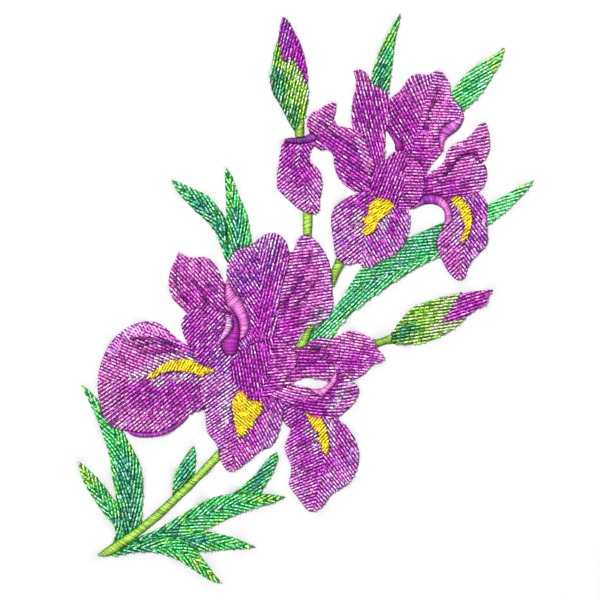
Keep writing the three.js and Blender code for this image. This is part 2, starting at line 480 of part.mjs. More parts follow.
function addPiece(name, finish, made) {
  const material = new THREE.MeshStandardMaterial(finishes[finish]);
  const mesh = new THREE.Mesh(bufferGeometry(made), material);
  mesh.name = name;
  panel.add(mesh);
}

// ---- Patches of top thread ----

const stitchKinds = {
  fill: { bottom: clothTop, thick: fillThick },
  satin: { bottom: clothTop, thick: satinThick },
  beard: { bottom: fillTop, thick: beardThick },
};

let inFront = null;
let stitchedArea = null;
for (const [name, finish, kind, points] of patches) {
  const outline = smoothOutline(points, edgeSteps);
  const { bottom, thick } = stitchKinds[kind];
  const whole = plate(outline, bottom, thick);
  addPiece(name, finish, inFront ? mainBody(whole.subtract(inFront)) : whole);
  if (kind === "beard") continue; // a beard lies on its petal, which isn't cut for it
  const cutter = plate(grown(outline, patchGap), 0, cutHeight);
  inFront = inFront ? inFront.add(cutter) : cutter;
  const footprint = plate(grown(smoothOutline(points, 1), bobbinMargin), 0, bobbinThick);
  stitchedArea = stitchedArea ? stitchedArea.add(footprint) : footprint;
}

// ---- Bobbin thread, on the back under every patch ----

addPiece("bobbin_thread", "white", mainBody(stitchedArea));

// ---- Backing, trimmed round the design ----

const backing = grown(smoothOutline(backingOutline, edgeSteps), backingMargin);
addPiece("backing", "backing", plate(backing, backingBottom, backingThick));

// ---- Ground cloth: one layer, with its edge turned under as a hem ----

const hemInner = panelSide - 2 * hemWidth;
const threadOuter = hemInner + 2 * (hemThreadInset + hemThreadWide);
const blank = solid(slab(roundedSquare(panelSide, cornerRadius), 0, clothTop));
const underside = solid(slab(roundedSquare(hemInner, cornerRadius), -1, clothBottom + 1));
addPiece("ground_cloth", "cloth", blank.subtract(underside));

// ---- Hem stitching, a closed run of thread on the face ----

const ring = roundedSquare(threadOuter, cornerRadius);
ring.holes.push(roundedSquare(threadOuter - 2 * hemThreadWide, cornerRadius));
addPiece("hem_thread", "white", solid(slab(ring, clothTop, hemThreadThick)));

export default panel;
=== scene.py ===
# A hemmed square of white cotton, machine embroidered with two irises, two buds and their leaves.
# Every stitch is a short closed tube of thread that dips into the cloth at both of its ends.
# Places and sizes in the tables are in millimetres, and put() turns them into metres.
import json
import math
import bpy
import numpy as np
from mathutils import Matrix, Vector


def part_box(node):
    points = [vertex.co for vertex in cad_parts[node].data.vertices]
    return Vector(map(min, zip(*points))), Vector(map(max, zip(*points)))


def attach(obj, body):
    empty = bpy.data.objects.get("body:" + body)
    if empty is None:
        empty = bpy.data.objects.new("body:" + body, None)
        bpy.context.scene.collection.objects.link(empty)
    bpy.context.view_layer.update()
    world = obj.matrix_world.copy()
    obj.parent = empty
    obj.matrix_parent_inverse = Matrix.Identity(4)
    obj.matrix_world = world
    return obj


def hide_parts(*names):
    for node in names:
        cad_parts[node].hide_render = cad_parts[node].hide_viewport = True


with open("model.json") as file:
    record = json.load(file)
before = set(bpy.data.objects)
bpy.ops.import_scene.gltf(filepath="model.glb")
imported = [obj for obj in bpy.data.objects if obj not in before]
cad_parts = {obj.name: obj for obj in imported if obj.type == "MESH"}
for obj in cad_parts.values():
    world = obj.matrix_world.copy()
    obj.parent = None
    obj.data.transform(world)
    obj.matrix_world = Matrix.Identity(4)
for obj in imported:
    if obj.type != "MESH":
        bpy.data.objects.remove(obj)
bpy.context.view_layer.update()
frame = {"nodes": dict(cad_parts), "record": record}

millimetre = 0.001
seed = 11

# Heights of the layers, from the CAD nodes.
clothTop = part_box("ground_cloth")[1].z / millimetre
panelSide = (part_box("ground_cloth")[1].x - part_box("ground_cloth")[0].x) / millimetre
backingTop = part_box("backing")[1].z / millimetre

# Neighbouring patches are sewn this far over their outlines, so that they meet.
seam = 0.14

# Rows are laid in steps of this length, and a stitch shorter than the other is left out.
rowStep, shortestStitch = 0.12, 0.25

# What the thread and its rows are like, for each kind of patch. Every other row of a fill lies deeper
# by "sunk" and is darkened by "shade", a painted shade, so that the rows show as pairs. A "length" of 0 leaves a row
# whole.
sewing = {
    "fill": {"pitch": 0.43, "length": 1.35, "width": 0.50, "height": 0.42, "rise": 0.38, "ends": 0.12,
             "sunk": 0.16, "shade": 0.30},
    "satin": {"pitch": 0.32, "length": 0, "width": 0.38, "height": 0.34, "rise": 0.62, "ends": 0.10,
              "sunk": 0, "shade": 1},
    "beard": {"pitch": 0.37, "length": 1.1, "width": 0.44, "height": 0.40, "rise": 0.50, "ends": 0.24,
              "sunk": 0.12, "shade": 0.50},
    "margin": {"pitch": 0.80, "length": 0, "width": 0.44, "height": 0.36, "rise": 0.54, "ends": 0.12,
               "sunk": 0, "shade": 1},
    "vein": {"length": 2.0, "width": 0.42, "height": 0.34, "rise": 0.52, "ends": 0.06, "sunk": 0, "shade": 1},
}

# Thread colours on the crown of a stitch, in daylight (sRGB); "stalkShade" is the stalk green with painted shade.
threads = {
    "white": (1.00, 0.96, 1.00), "lilac": (0.88, 0.68, 0.98), "pink": (0.99, 0.60, 0.91),
    "orchid": (0.94, 0.45, 0.86), "purple": (0.86, 0.34, 0.86), "magenta": (0.88, 0.13, 0.84),
    "plum": (0.70, 0.14, 0.74), "violet": (0.72, 0.42, 0.92), "indigo": (0.46, 0.20, 0.74),
    "gold": (1.00, 0.90, 0.00), "amber": (1.00, 0.72, 0.00), "lemon": (1.00, 0.98, 0.36),
    "mint": (0.62, 1.00, 0.70), "green": (0.32, 0.93, 0.50), "jade": (0.30, 0.82, 0.62),
    "teal": (0.20, 0.60, 0.56), "lime": (0.70, 0.95, 0.32), "yellow": (0.92, 0.98, 0.40),
    "olive": (0.58, 0.80, 0.26), "moss": (0.30, 0.60, 0.25), "cream": (0.99, 1.00, 0.90),
    "slate": (0.60, 0.82, 0.74), "stalk": (0.69, 0.88, 0.30), "stalkShade": (0.50, 0.70, 0.22),
}
veinColour = (0.34, 0.03, 0.40)
# painted highlight: the colour in the middle of a gleaming stitch's crown
paintedGleamColour = (1.00, 0.92, 1.00)

# How strongly each of a patch's mixes counts, how far its "edge" mix comes in, how much of a stitch's
# colour is its own thread's, and how far the tones of neighbouring stitches differ.
mixing = {
    "base": 0.28, "edge": 0.8, "edgeReach": 1.2, "shade": 1.6, "ownThread": 0.66,
    "toneSpread": 0.12, "satinToneSpread": 0.05,
}

# The light and dark that is painted into the stitches' colours: on flanks and at dipping ends, in sunk
# and raised rows, under the patches in front, and beside the veins.
painted = {
    "flank": 0.14, "dip": 0.36, "deepening": 0.7, "sunkSpread": 0.5, "raised": 1.28, "raisedSpread": 0.24,
    "satinSpread": 0.08, "darkest": 0.6, "lightest": 1.8, "underFront": 0.5, "frontReach": 0.7,
    "besideVein": 0.8, "veinReach": 0.42,
}

# Threads that are sewn among each other in one area: how many stitches of each, how often one gleams
# with a painted highlight, and how light the whole area is where that differs from 1.
mixes = {
    "rose": {"pink": 5, "orchid": 4, "lilac": 1, "paintedGleam": 0.12},
    "orchid": {"orchid": 6, "pink": 3, "purple": 3, "paintedGleam": 0.03},
    "mauve": {"lilac": 3, "pink": 2, "orchid": 4, "violet": 2, "paintedGleam": 0.45},
    "purple": {"purple": 5, "orchid": 3, "plum": 2, "paintedGleam": 0.12},
    "magenta": {"magenta": 6, "purple": 3, "plum": 1, "paintedGleam": 0.05},
    "plum": {"plum": 5, "purple": 3, "magenta": 2, "paintedGleam": 0.10},
    "violet": {"purple": 4, "violet": 3, "plum": 2, "orchid": 2, "paintedGleam": 0.45},
    "dusk": {"plum": 3, "purple": 4, "indigo": 2, "violet": 2, "paintedGleam": 0.30},
    # painted highlight: the next mix lays white and lilac stitches, most of them gleaming, where the thread's sheen
    # shows as pale flecks
    "frostSheen": {"white": 5, "lilac": 3, "violet": 1, "paintedGleam": 0.9},
    "gold": {"gold": 7, "amber": 3, "lemon": 1, "paintedGleam": 0, "tone": 1.1},
    "blush": {"orchid": 5, "pink": 3, "paintedGleam": 0, "tone": 0.72},
    "berry": {"magenta": 5, "plum": 5, "paintedGleam": 0, "tone": 0.52},
    "dim": {"indigo": 4, "plum": 4, "paintedGleam": 0, "tone": 0.5},
    "grape": {"indigo": 2, "plum": 4, "purple": 2, "paintedGleam": 0.05, "tone": 0.74},
    "haze": {"lilac": 4, "orchid": 4, "purple": 1, "paintedGleam": 0.2, "tone": 0.72},
    "mint": {"mint": 7, "green": 2, "paintedGleam": 0, "tone": 1.2},
    "green": {"green": 6, "mint": 3, "jade": 2, "lime": 1, "paintedGleam": 0},
    "jade": {"jade": 4, "green": 3, "teal": 1, "mint": 1, "slate": 1, "paintedGleam": 0},
    "teal": {"teal": 6, "jade": 2, "slate": 2, "paintedGleam": 0},
    "slate": {"slate": 4, "jade": 3, "green": 2, "paintedGleam": 0},
    "lime": {"lime": 6, "yellow": 3, "mint": 2, "paintedGleam": 0},
    "tip": {"lime": 4, "yellow": 2, "green": 3, "paintedGleam": 0},
    "verge": {"green": 6, "lime": 2, "mint": 2, "paintedGleam": 0, "tone": 1.08},
    "bract": {"lime": 4, "olive": 4, "moss": 2, "paintedGleam": 0.25, "tone": 1.2},
    "cream": {"cream": 4, "lime": 3, "olive": 2, "paintedGleam": 0.7},
    "bottle": {"teal": 4, "moss": 3, "jade": 3, "paintedGleam": 0.1},
    # painted light and shade on the stems: the next three mixes are lit, half-lit and shaded copies of one green
    "sunlit": {"stalk": 8, "paintedGleam": 0, "tone": 0.84},
    "halfLit": {"stalk": 4, "stalkShade": 4, "paintedGleam": 0, "tone": 0.8},
    "shaded": {"stalkShade": 8, "paintedGleam": 0},
}

# How each patch is sewn. "rows" are the angles of its rows at its lower and upper side, and "bend" is
# how much a row turns in each millimetre. A patch with a "rib" has rows that leave it to both sides,
# at the angles "left" and "right", or at "spread" from the rib. "satin" is the middle line of a
# column that is crossed from edge to edge. "base" is the patch's mix of threads, "edge" one that comes in
# along its outline, and each row of "shades" lays another mix along a line of points, as far out as the
# distance given.
def beard(angle):
    return {"rows": (angle, angle), "base": "gold"}


def stem(line, mix, shades=()):
    return {"satin": line, "slant": 24, "base": mix, "shades": shades}


lowerIris = {
    "lower_centre_style": {
        "rib": [(-10.8, -28.3), (-8.6, -18), (-7, -10.4)], "left": (100, 100, 100), "right": (8, 6, 2),
        "base": "plum",
        "shades": [([(-15, -14), (-14, -20), (-12, -25)], 4.5, "plum"),
                   ([(-11, -12), (-11, -20)], 3, "plum"), ([(-4, -14), (-5, -21)], 3.2, "orchid")],
    },
    "lower_left_crest_lining": {
        "satin": [(-20, -4.2), (-19.9, -6.5), (-20.4, -8.6), (-21.5, -10.8), (-23, -12.5)],
        "base": "haze",
    },
    "lower_left_crest": {
        "rows": (44, 50), "base": "dusk", "edge": "mauve",
        "shades": [([(-31, -5), (-31, -12), (-28, -16)], 3, "plum"),
                   ([(-27, -3), (-25, -8)], 3, "purple"), ([(-24, -17), (-20, -18)], 3, "dusk")],
    },
    "lower_left_curl": {
        "satin": [(-18.8, -2.6), (-17.9, -6), (-18, -9), (-19, -12), (-19.8, -15.8)],
        "base": "berry",
    },
    "lower_left_lining": {
        "satin": [(-20.4, 6), (-19.6, 2.5), (-18, 0), (-16.8, -3), (-16, -6.5), (-16.6, -11)],
        "base": "blush",
    },
    "lower_centre_beard": beard(-40),
    "lower_centre_fall": {
        "rib": [(-15, -24), (-16.5, -33), (-19.3, -47.5)], "left": (216, 212, 205), "right": (-62, -60, -54),
        "base": "violet", "edge": "mauve",
        "shades": [([(-24, -24), (-20, -24)], 3, "mauve"), ([(-20.5, -25), (-21, -34)], 0.9, "frostSheen"),
                   ([(-7.6, -33), (-8, -38)], 2.6, "mauve"), ([(-11, -27), (-7, -29)], 2.4, "plum"),
                   ([(-19, -38), (-14, -38)], 1.2, "mauve"), ([(-16, -41), (-17, -45)], 3.5, "orchid"),
                   ([(-14, -38), (-12, -33)], 2, "magenta"), ([(-24, -33), (-23, -40)], 2, "mauve")],
    },
    "lower_right_fold": {
        "satin": [(3.2, -25.6), (6, -26), (8, -24.2), (9.8, -21.5)], "base": "blush",
    },
    "lower_right_crest": {
        "rows": (-12, 2), "bend": 1.5, "base": "plum",
        "shades": [([(-8, -27), (-3, -25), (2, -25.6)], 1.6, "rose"), ([(14.6, -25), (14, -29)], 2, "mauve"),
                   ([(14, -23.5), (9.5, -30)], 1.0, "frostSheen"), ([(14, -26), (12, -31)], 1.8, "rose")],
    },
    "lower_left_beard": beard(60),
    "lower_left_fall_rim": {
        "satin": [(-48.2, -36.8), (-43, -37.9), (-38, -37.1), (-33.5, -34.6), (-31, -32.2)],
        "base": "berry", "shades": [([(-48, -37.6), (-43, -38.4), (-36, -36.6)], 0.4, "grape")],
    },
    "lower_left_fall": {
        "rib": [(-24, -20.5), (-34, -19), (-42, -21), (-56, -23)], "left": (220, 219, 216, 210),
        "right": (158, 158, 158, 156), "base": "orchid", "edge": "mauve",
        "margins": [([(-52.8, -15), (-50.4, -11.8), (-47.5, -9.3), (-43, -7.8), (-39, -8.8), (-36.4, -10.6)],
                     (145, 122, 118, 128), 1.7)],
        "veins": [[(-49.5, -11), (-42, -10.6), (-38, -11.5), (-34, -12.8)],
                  [(-46, -12.7), (-41, -12), (-36, -12.6)],
                  [(-44, -15), (-38, -14.4), (-33, -14.6)]],
        "shades": [([(-36, -9), (-46, -8), (-53, -15), (-54, -26)], 3, "rose"),
                   ([(-29, -14), (-36, -12)], 3, "magenta"),
                   ([(-28, -24), (-38, -24.5), (-45, -26)], 3.6, "plum"),
                   ([(-28, -28), (-36, -30)], 2.5, "plum"), ([(-46, -22), (-41.5, -19.8)], 1.2, "frostSheen"),
                   ([(-56, -28), (-50, -34), (-42, -36.5), (-35, -34)], 3.4, "rose"),
                   ([(-40, -17.8), (-34, -15.5), (-28, -17)], 1.1, "frostSheen"),
                   ([(-41, -23), (-33, -21.4), (-28, -22.2)], 1.1, "frostSheen"),
                   ([(-53, -14), (-47, -8), (-41, -7)], 1.6, "mauve"),
                   ([(-55, -29), (-49, -34)], 2.5, "mauve")],
    },
    "lower_right_beard": beard(50),
    "lower_right_arm": {
        "rows": (12, -18), "bend": -0.3, "base": "orchid", "edge": "rose",
        "veins": [[(2, -14), (5, -13.3), (8, -13)], [(3, -17.5), (6.5, -16), (10, -15)]],
        "shades": [([(-1, -17), (3, -16)], 4, "magenta"), ([(12, -20), (20, -15)], 2, "plum"),
                   ([(8, -21), (15, -21.5)], 1.4, "mauve"), ([(8, -12), (18, -11)], 2, "rose")],
    },
    "lower_right_fall": {
        "rib": [(2.5, -31), (6.5, -40), (6.5, -47), (3.6, -58.8)], "left": (212, 208, 202, 194),
        "right": (-55, -54, -50, -46), "base": "violet", "edge": "mauve",
        "shades": [([(-3, -30), (0, -38)], 3, "plum"), ([(2.4, -35.4), (4.5, -40)], 0.7, "frostSheen"),
                   ([(8.4, -34), (9.6, -40)], 0.7, "frostSheen"), ([(11, -36), (11, -42)], 2.2, "purple"),
                   ([(15.4, -38), (15.4, -47)], 1.8, "mauve"),
                   ([(-2, -43), (-1, -52)], 1.6, "mauve"), ([(7, -44), (4, -57)], 1.2, "plum"),
                   ([(3, -56), (9, -52)], 3.5, "mauve"),
                   ([(0, -46), (2, -50)], 3, "purple")],
    },
    "lower_back_standard": {
        "rib": [(-12, -13), (-11, 2), (-12, 18.7)], "left": (122, 124, 120), "right": (76, 77, 76),
        "base": "dusk", "edge": "mauve",
        "shades": [([(-19, 10), (-15, 14), (-9, 17)], 2.4, "mauve"), ([(-15, 4), (-12, 10)], 3.4, "dusk"),
                   ([(-9, 2), (-11, -8)], 4, "magenta"), ([(-13, 3), (-12, -4)], 2, "plum"),
                   ([(-6.2, 4), (-5.8, -4)], 0.7, "mauve"), ([(-4, 14), (-4, 8)], 1.4, "purple")],
    },
    "lower_left_standard": {
        "rows": (-46, -48), "base": "orchid", "edge": "rose",
        "veins": [[(-34.4, 10), (-34.7, 4), (-31.5, -1)], [(-30, 5.5), (-28, 3), (-26, 0)],
                  [(-26.5, 5), (-24, 2.5)]],
        "shades": [([(-35.6, 9), (-35.8, 4), (-33, -1)], 1.1, "rose"),
                   ([(-31, -1), (-24, -1), (-20, -3)], 2.4, "magenta"),
                   ([(-23, 5), (-22, 0)], 2, "violet")],
    },
    "lower_right_standard": {
        "rows": (12, 6), "base": "orchid", "edge": "mauve",
        "veins": [[(2.7, 13.5), (2.2, 9.5), (0.8, 7), (-2.5, 2), (-4.2, -1.5), (-5, -4)],
                  [(5.2, 6.3), (3, 3), (1, 1), (-2.5, -3)],
                  [(6, -3), (4.5, -4.5), (1, -6.2), (-1, -7.5)]],
        "shades": [([(6.5, 12), (8.6, 4), (8.6, -2)], 1.4, "mauve"),
                   ([(1.5, 11), (-1, 4), (-3, -2)], 1, "purple"),
                   ([(-4, -4), (-3, -9)], 3, "magenta"), ([(0, 17), (3, 16)], 1.6, "mauve"),
                   ([(7, -3), (3, -8)], 1.4, "frostSheen")],
    },
}

upperIris = {
    "upper_centre_style": {
        "rib": [(27.5, 26), (29.5, 33), (30, 40)], "left": (250, 250, 248), "right": (-2, -2, -2),
        "base": "purple",
        "shades": [([(22, 32), (25, 29), (28, 28)], 3.8, "plum"), ([(32, 28), (32.5, 36)], 2.4, "orchid"),
                   ([(25, 38), (28, 36)], 3, "purple")],
    },
    "upper_right_arch": {
        "satin": [(30, 25.4), (33.4, 27.4), (37, 28.2), (40, 27.2), (41.6, 24.6), (41.6, 21.8)],
        "base": "grape", "shades": [([(30, 25.2), (34, 26.6), (38, 26.8)], 0.4, "blush"),
                                    ([(40.6, 26.6), (41.8, 22)], 1.4, "blush")],
    },
    "upper_left_beard": beard(35),
    "upper_left_fall": {
        "rib": [(21, 29.5), (18.5, 22), (17.2, 10.2)], "left": (216, 216, 220), "right": (-60, -60, -60),
        "base": "violet", "edge": "mauve",
        "shades": [([(17, 28), (12, 25)], 3, "plum"), ([(16.2, 24), (16, 20)], 0.8, "frostSheen"),
                   ([(23, 21), (25, 24)], 0.9, "frostSheen"),
                   ([(11, 22), (12, 14)], 3, "mauve"), ([(27.6, 24), (27, 20)], 2, "plum"),
                   ([(23, 19), (20, 19)], 1.4, "mauve"), ([(14, 13), (20, 10.5)], 2.4, "mauve"),
                   ([(29.4, 22), (28, 15)], 2, "mauve")],
    },
    "upper_right_crest": {
        "rows": (8, 12), "base": "orchid",
        "shades": [([(36, 30.4), (44, 30)], 1.4, "plum"), ([(50.4, 40), (51, 32)], 1.6, "mauve"),
                   ([(38, 32), (46, 34)], 0.7, "plum")],
    },
    "upper_right_standard": {
        "rows": (5, 15), "base": "rose", "veins": [[(38, 34), (41, 35), (43, 38), (46, 41), (49, 41)]],
        "shades": [([(35, 33), (41, 35), (43, 38), (46, 41), (49, 41)], 0.9, "plum"),
                   ([(46, 43), (51, 47)], 4, "rose")],
    },
    "upper_right_beard": beard(40),
    "upper_right_fall": {
        "rib": [(44.5, 30), (46.8, 20), (44.6, 6)], "left": (222, 222, 224), "right": (-53, -54, -54),
        "base": "violet", "edge": "mauve",
        "shades": [([(42, 20), (41, 12)], 3, "orchid"), ([(49, 27), (50, 21)], 1.3, "violet"),
                   ([(39.6, 20), (39.6, 13)], 1.6, "mauve"), ([(44, 9), (46, 8)], 2.5, "orchid"),
                   ([(44, 18), (43, 23)], 1.2, "frostSheen")],
    },
    "upper_hanging_fold": {
        "satin": [(-3.9, 44.6), (0, 44.6), (3.8, 45.6)], "base": "dim",
        "shades": [([(2.6, 45.8), (4, 46)], 0.7, "grape")],
    },
    "upper_left_arm": {
        "rows": (-38, -30), "base": "purple", "edge": "rose",
        "veins": [[(6, 50), (10, 46), (16, 42)]],
        "shades": [([(4, 51), (8, 53)], 3, "rose"), ([(4, 44), (9, 43)], 1.6, "plum"),
                   ([(12, 40), (14, 34), (17, 32)], 3, "plum"), ([(17, 44), (19, 38)], 0.8, "mauve")],
    },
    "upper_hanging_fall": {
        "rib": [(0.2, 44.5), (-0.3, 36), (3.6, 24.4)], "left": (222, 220, 216), "right": (-56, -54, -52),
        "base": "purple", "edge": "mauve",
        "shades": [([(-3.4, 42), (-3, 37)], 2.4, "plum"), ([(0.5, 40), (0.5, 33)], 2, "plum"),
                   ([(-0.3, 43.5), (-0.5, 38)], 0.4, "frostSheen"), ([(5, 32), (5, 25)], 1.6, "mauve"),
                   ([(0, 28), (4, 26)], 3, "mauve"),
                   ([(-5, 34), (-4, 31)], 1.4, "mauve"), ([(3.4, 42), (1.5, 38)], 1.2, "plum")],
    },
    "upper_left_standard": {
        "rows": (-66, -86), "base": "purple", "edge": "rose",
        "shades": [([(17, 63), (18, 60)], 2, "rose"), ([(17.5, 58), (19, 46)], 2.4, "plum"),
                   ([(24, 57), (24.6, 50)], 1.2, "orchid"),
                   ([(22, 54), (21.5, 38)], 2.4, "plum")],
    },
    "upper_back_fold": {
        "satin": [(45.3, 52.6), (43.8, 49.3), (41, 47.5), (39.8, 45), (39.8, 42)],
        "base": "grape", "shades": [([(44.6, 51.6), (42.4, 49.4), (39.6, 47.4), (39.2, 43.4)], 0.6, "blush")],
    },
    "upper_back_lining": {
        "satin": [(24.2, 48.9), (26.2, 46.2), (27.6, 43.8), (28, 41.8)], "base": "berry",
    },
    "upper_back_standard": {
        "rib": [(30.5, 39), (33.5, 50), (37.5, 63.5)], "left": (124, 118, 100), "right": (-3, 0, -10),
        "base": "orchid", "edge": "mauve",
        "shades": [([(28.5, 52), (30, 47), (31, 41)], 4.2, "plum"),
                   ([(29, 60), (33, 63), (38, 63)], 2, "mauve"),
                   ([(33, 42), (35, 38)], 2.4, "magenta"), ([(38, 52), (37.4, 44)], 1.8, "rose")],
        "veins": [[(38.5, 59.5), (37.5, 55), (36, 53), (35, 48)]],
    },
}

budsAndStems = {
    "stem_main": stem(
        [(-56.5, -71.3), (-50, -68.3), (-44, -63.3), (-37, -57), (-30, -50.8), (-24.8, -45.6), (-19.4, -40)],
        "sunlit", [([(-55, -72), (-42.4, -63.9), (-30, -52.6), (-18, -41)], 0.7, "shaded")],
    ),
    "stem_middle_lower": stem([(-1.6, -14.2), (1.2, -11), (3.6, -6.2)], "halfLit"),
    "stem_middle_upper": stem([(7.9, 3.2), (9.6, 7.6), (12.4, 12.4)], "halfLit"),
    "stem_left": stem([(2, 17), (2.2, 26)], "sunlit"),
    "stem_left_bud": stem([(-0.2, 44.6), (0.4, 50.6)], "halfLit"),
    "stem_right_bud": stem([(20, -12.4), (25.6, -11)], "halfLit"),
    "bud_left_petals": {"rows": (76, 76), "base": "plum", "shades": [([(-4, 77), (-4, 70)], 1, "dusk")]},
    "bud_left_sheath": {
        "rows": (76, 78), "base": "bract",
        "shades": [([(-4, 68), (-0.5, 65), (1.8, 58)], 0.9, "cream"), ([(-7, 63), (-6, 57)], 2.0, "bottle"),
                   ([(-2, 50), (-3, 53)], 1.6, "bottle")],
    },
    "bud_right_petals": {"rows": (18, 18), "base": "purple",
                         "shades": [([(44, -4), (50, -1)], 1, "magenta")]},
    "bud_right_sheath": {
        "rows": (12, 4), "base": "bract",
        "shades": [([(43, -1), (42, -5), (44, -7)], 2.6, "cream"), ([(38, -8), (43, -6.5)], 1, "cream"),
                   ([(24, -11), (32, -8)], 0.9, "bottle")],
    },
}

leaves = {
    "leaf_lower_right": {
        "rib": [(-54, -71), (-46, -69.4), (-38, -69), (-31, -71.4), (-22.2, -79)], "spread": 20,
        "base": "green", "edge": "verge",
        "shades": [([(-50, -70.4), (-42, -69.2)], 1.4, "teal"), ([(-28, -73), (-23, -78)], 2, "tip")],
    },
    "leaf_long_right": {
        "rib": [(-49, -68.4), (-38, -65), (-28, -60.6), (-20, -57.6), (-4.2, -55.3)], "spread": 20,
        "base": "green", "edge": "verge",
        "shades": [([(-46, -67.6), (-36, -64)], 1.6, "teal"), ([(-30, -61.4), (-18, -57.4)], 1, "jade"),
                   ([(-10, -56), (-5, -55.4)], 2, "tip")],
    },
    "leaf_middle_right": {
        "rib": [(-36, -66.6), (-26, -67.6), (-12.6, -69.1)], "spread": 18, "base": "green", "edge": "verge",
        "shades": [([(-34, -67), (-26, -67.4)], 1, "teal")],
    },
    "leaf_behind_right": {"rows": (32, 32), "base": "jade", "edge": "verge",
                          "shades": [([(-14, -53), (-9, -46)], 1.4, "teal")]},
    "leaf_by_stem": {"rows": (52, 52), "base": "jade", "edge": "verge",
                     "shades": [([(-33.6, -52), (-31, -44)], 1, "teal")]},
    "leaf_outer_left": {
        "rib": [(-51.6, -68), (-51.6, -62), (-56, -55), (-62, -45.6)], "spread": 20, "base": "green",
        "edge": "verge",
        "shades": [([(-52, -66), (-51, -61)], 1.6, "teal"), ([(-60, -49), (-62, -46)], 3, "tip"),
                   ([(-54, -58), (-57.4, -53)], 0.7, "jade")],
    },
    "leaf_tall_left": {
        "rib": [(-47.6, -66), (-47.4, -56), (-48.4, -46), (-51.4, -38), (-61, -24.2)], "spread": 14,
        "base": "green", "edge": "verge",
        "shades": [([(-48, -65), (-47.6, -56), (-49, -46)], 2.3, "teal"),
                   ([(-56, -31), (-60.6, -25)], 2, "mint")],
    },
    "leaf_pair_right": {"rib": [(-17, 12), (-17.6, 22), (-20.6, 36.8)], "spread": 15, "base": "green",
                        "edge": "verge", "shades": [([(-17.4, 14), (-18, 24)], 1.2, "teal")]},
    "leaf_pair_left": {"rib": [(-19.4, 11), (-22.8, 22), (-35.6, 33.4)], "spread": 15, "base": "jade",
                       "edge": "verge",
                       "shades": [([(-20, 14), (-23, 21), (-29, 27)], 1.8, "teal"),
                                  ([(-33, 31), (-35.6, 33.4)], 2, "mint")]},
    "leaf_top_centre": {
        "rows": (60, 62), "base": "jade", "edge": "verge",
        "shades": [([(22.6, 59), (23, 68)], 1.4, "teal"), ([(26, 75), (28, 79)], 2, "tip"),
                   ([(21, 64), (24, 73)], 0.6, "tip")],
    },
    "leaf_top_right": {
        "rows": (30, 30), "base": "mint",
        "shades": [([(44, 55), (47, 59)], 2, "green"), ([(54, 67), (57, 70)], 2, "tip"),
                   ([(46, 58), (51, 63)], 0.6, "jade")],
    },
    "leaf_long_middle": {
        "rib": [(0, -12), (6, -5), (12.6, 2.8), (23, 6.4), (34.3, 10.6), (42, 15)], "left": (186, 186),
        "right": (226, 222), "base": "jade", "edge": "verge",
        "shades": [([(6, -7.5), (15, 3), (26, 13), (40, 19)], 3.4, "slate"),
                   ([(8, -10), (18, -0.5), (28, 7), (40, 12.6)], 1, "mint"),
                   ([(2, -9), (8, -3), (14, 5), (20, 10)], 2, "mint")],
    },
    "leaf_long_middle_tip": {"rows": (16, 18), "base": "mint",
                             "shades": [([(54, 24), (64, 33)], 2.4, "mint"),
                                        ([(60, 30), (64, 33)], 0.8, "lime")]},
}

# How rough the thread of each slot is.
threadRoughness = {
    "orchid_thread": 0.42, "plum_thread": 0.40, "lilac_thread": 0.42, "gold_thread": 0.42,
    "lime_thread": 0.38, "leaf_thread": 0.42, "sheath_thread": 0.42, "white_thread": 0.60,
}
threadSheen = 0.04


def linearColour(rgb):
    # sRGB to the linear values that shaders work in
    c = np.asarray(rgb, float)
    return np.where(c <= 0.04045, c / 12.92, ((c + 0.055) / 1.055) ** 2.4)


threadNames = list(threads)
threadColours = linearColour([threads[name] for name in threadNames])
mixWeights = {}
for mixName, parts in mixes.items():
    shares = np.array([parts.get(thread, 0) for thread in threadNames], float)
    mixWeights[mixName] = np.concatenate((shares / shares.sum(), [parts["paintedGleam"], parts.get("tone", 1)]))


def socketIn(group, name, kind, value=None):
    socket = group.interface.new_socket(name=name, in_out="INPUT", socket_type=kind)
    if value is not None:
        socket.default_value = value


def socketOut(group, name, kind):
    group.interface.new_socket(name=name, in_out="OUTPUT", socket_type=kind)


def mathNode(nodes, operation, **values):
    node = nodes.new("ShaderNodeMath")
    node.operation = operation
    for index, value in values.items():
        node.inputs[int(index[1:])].default_value = value
    return node


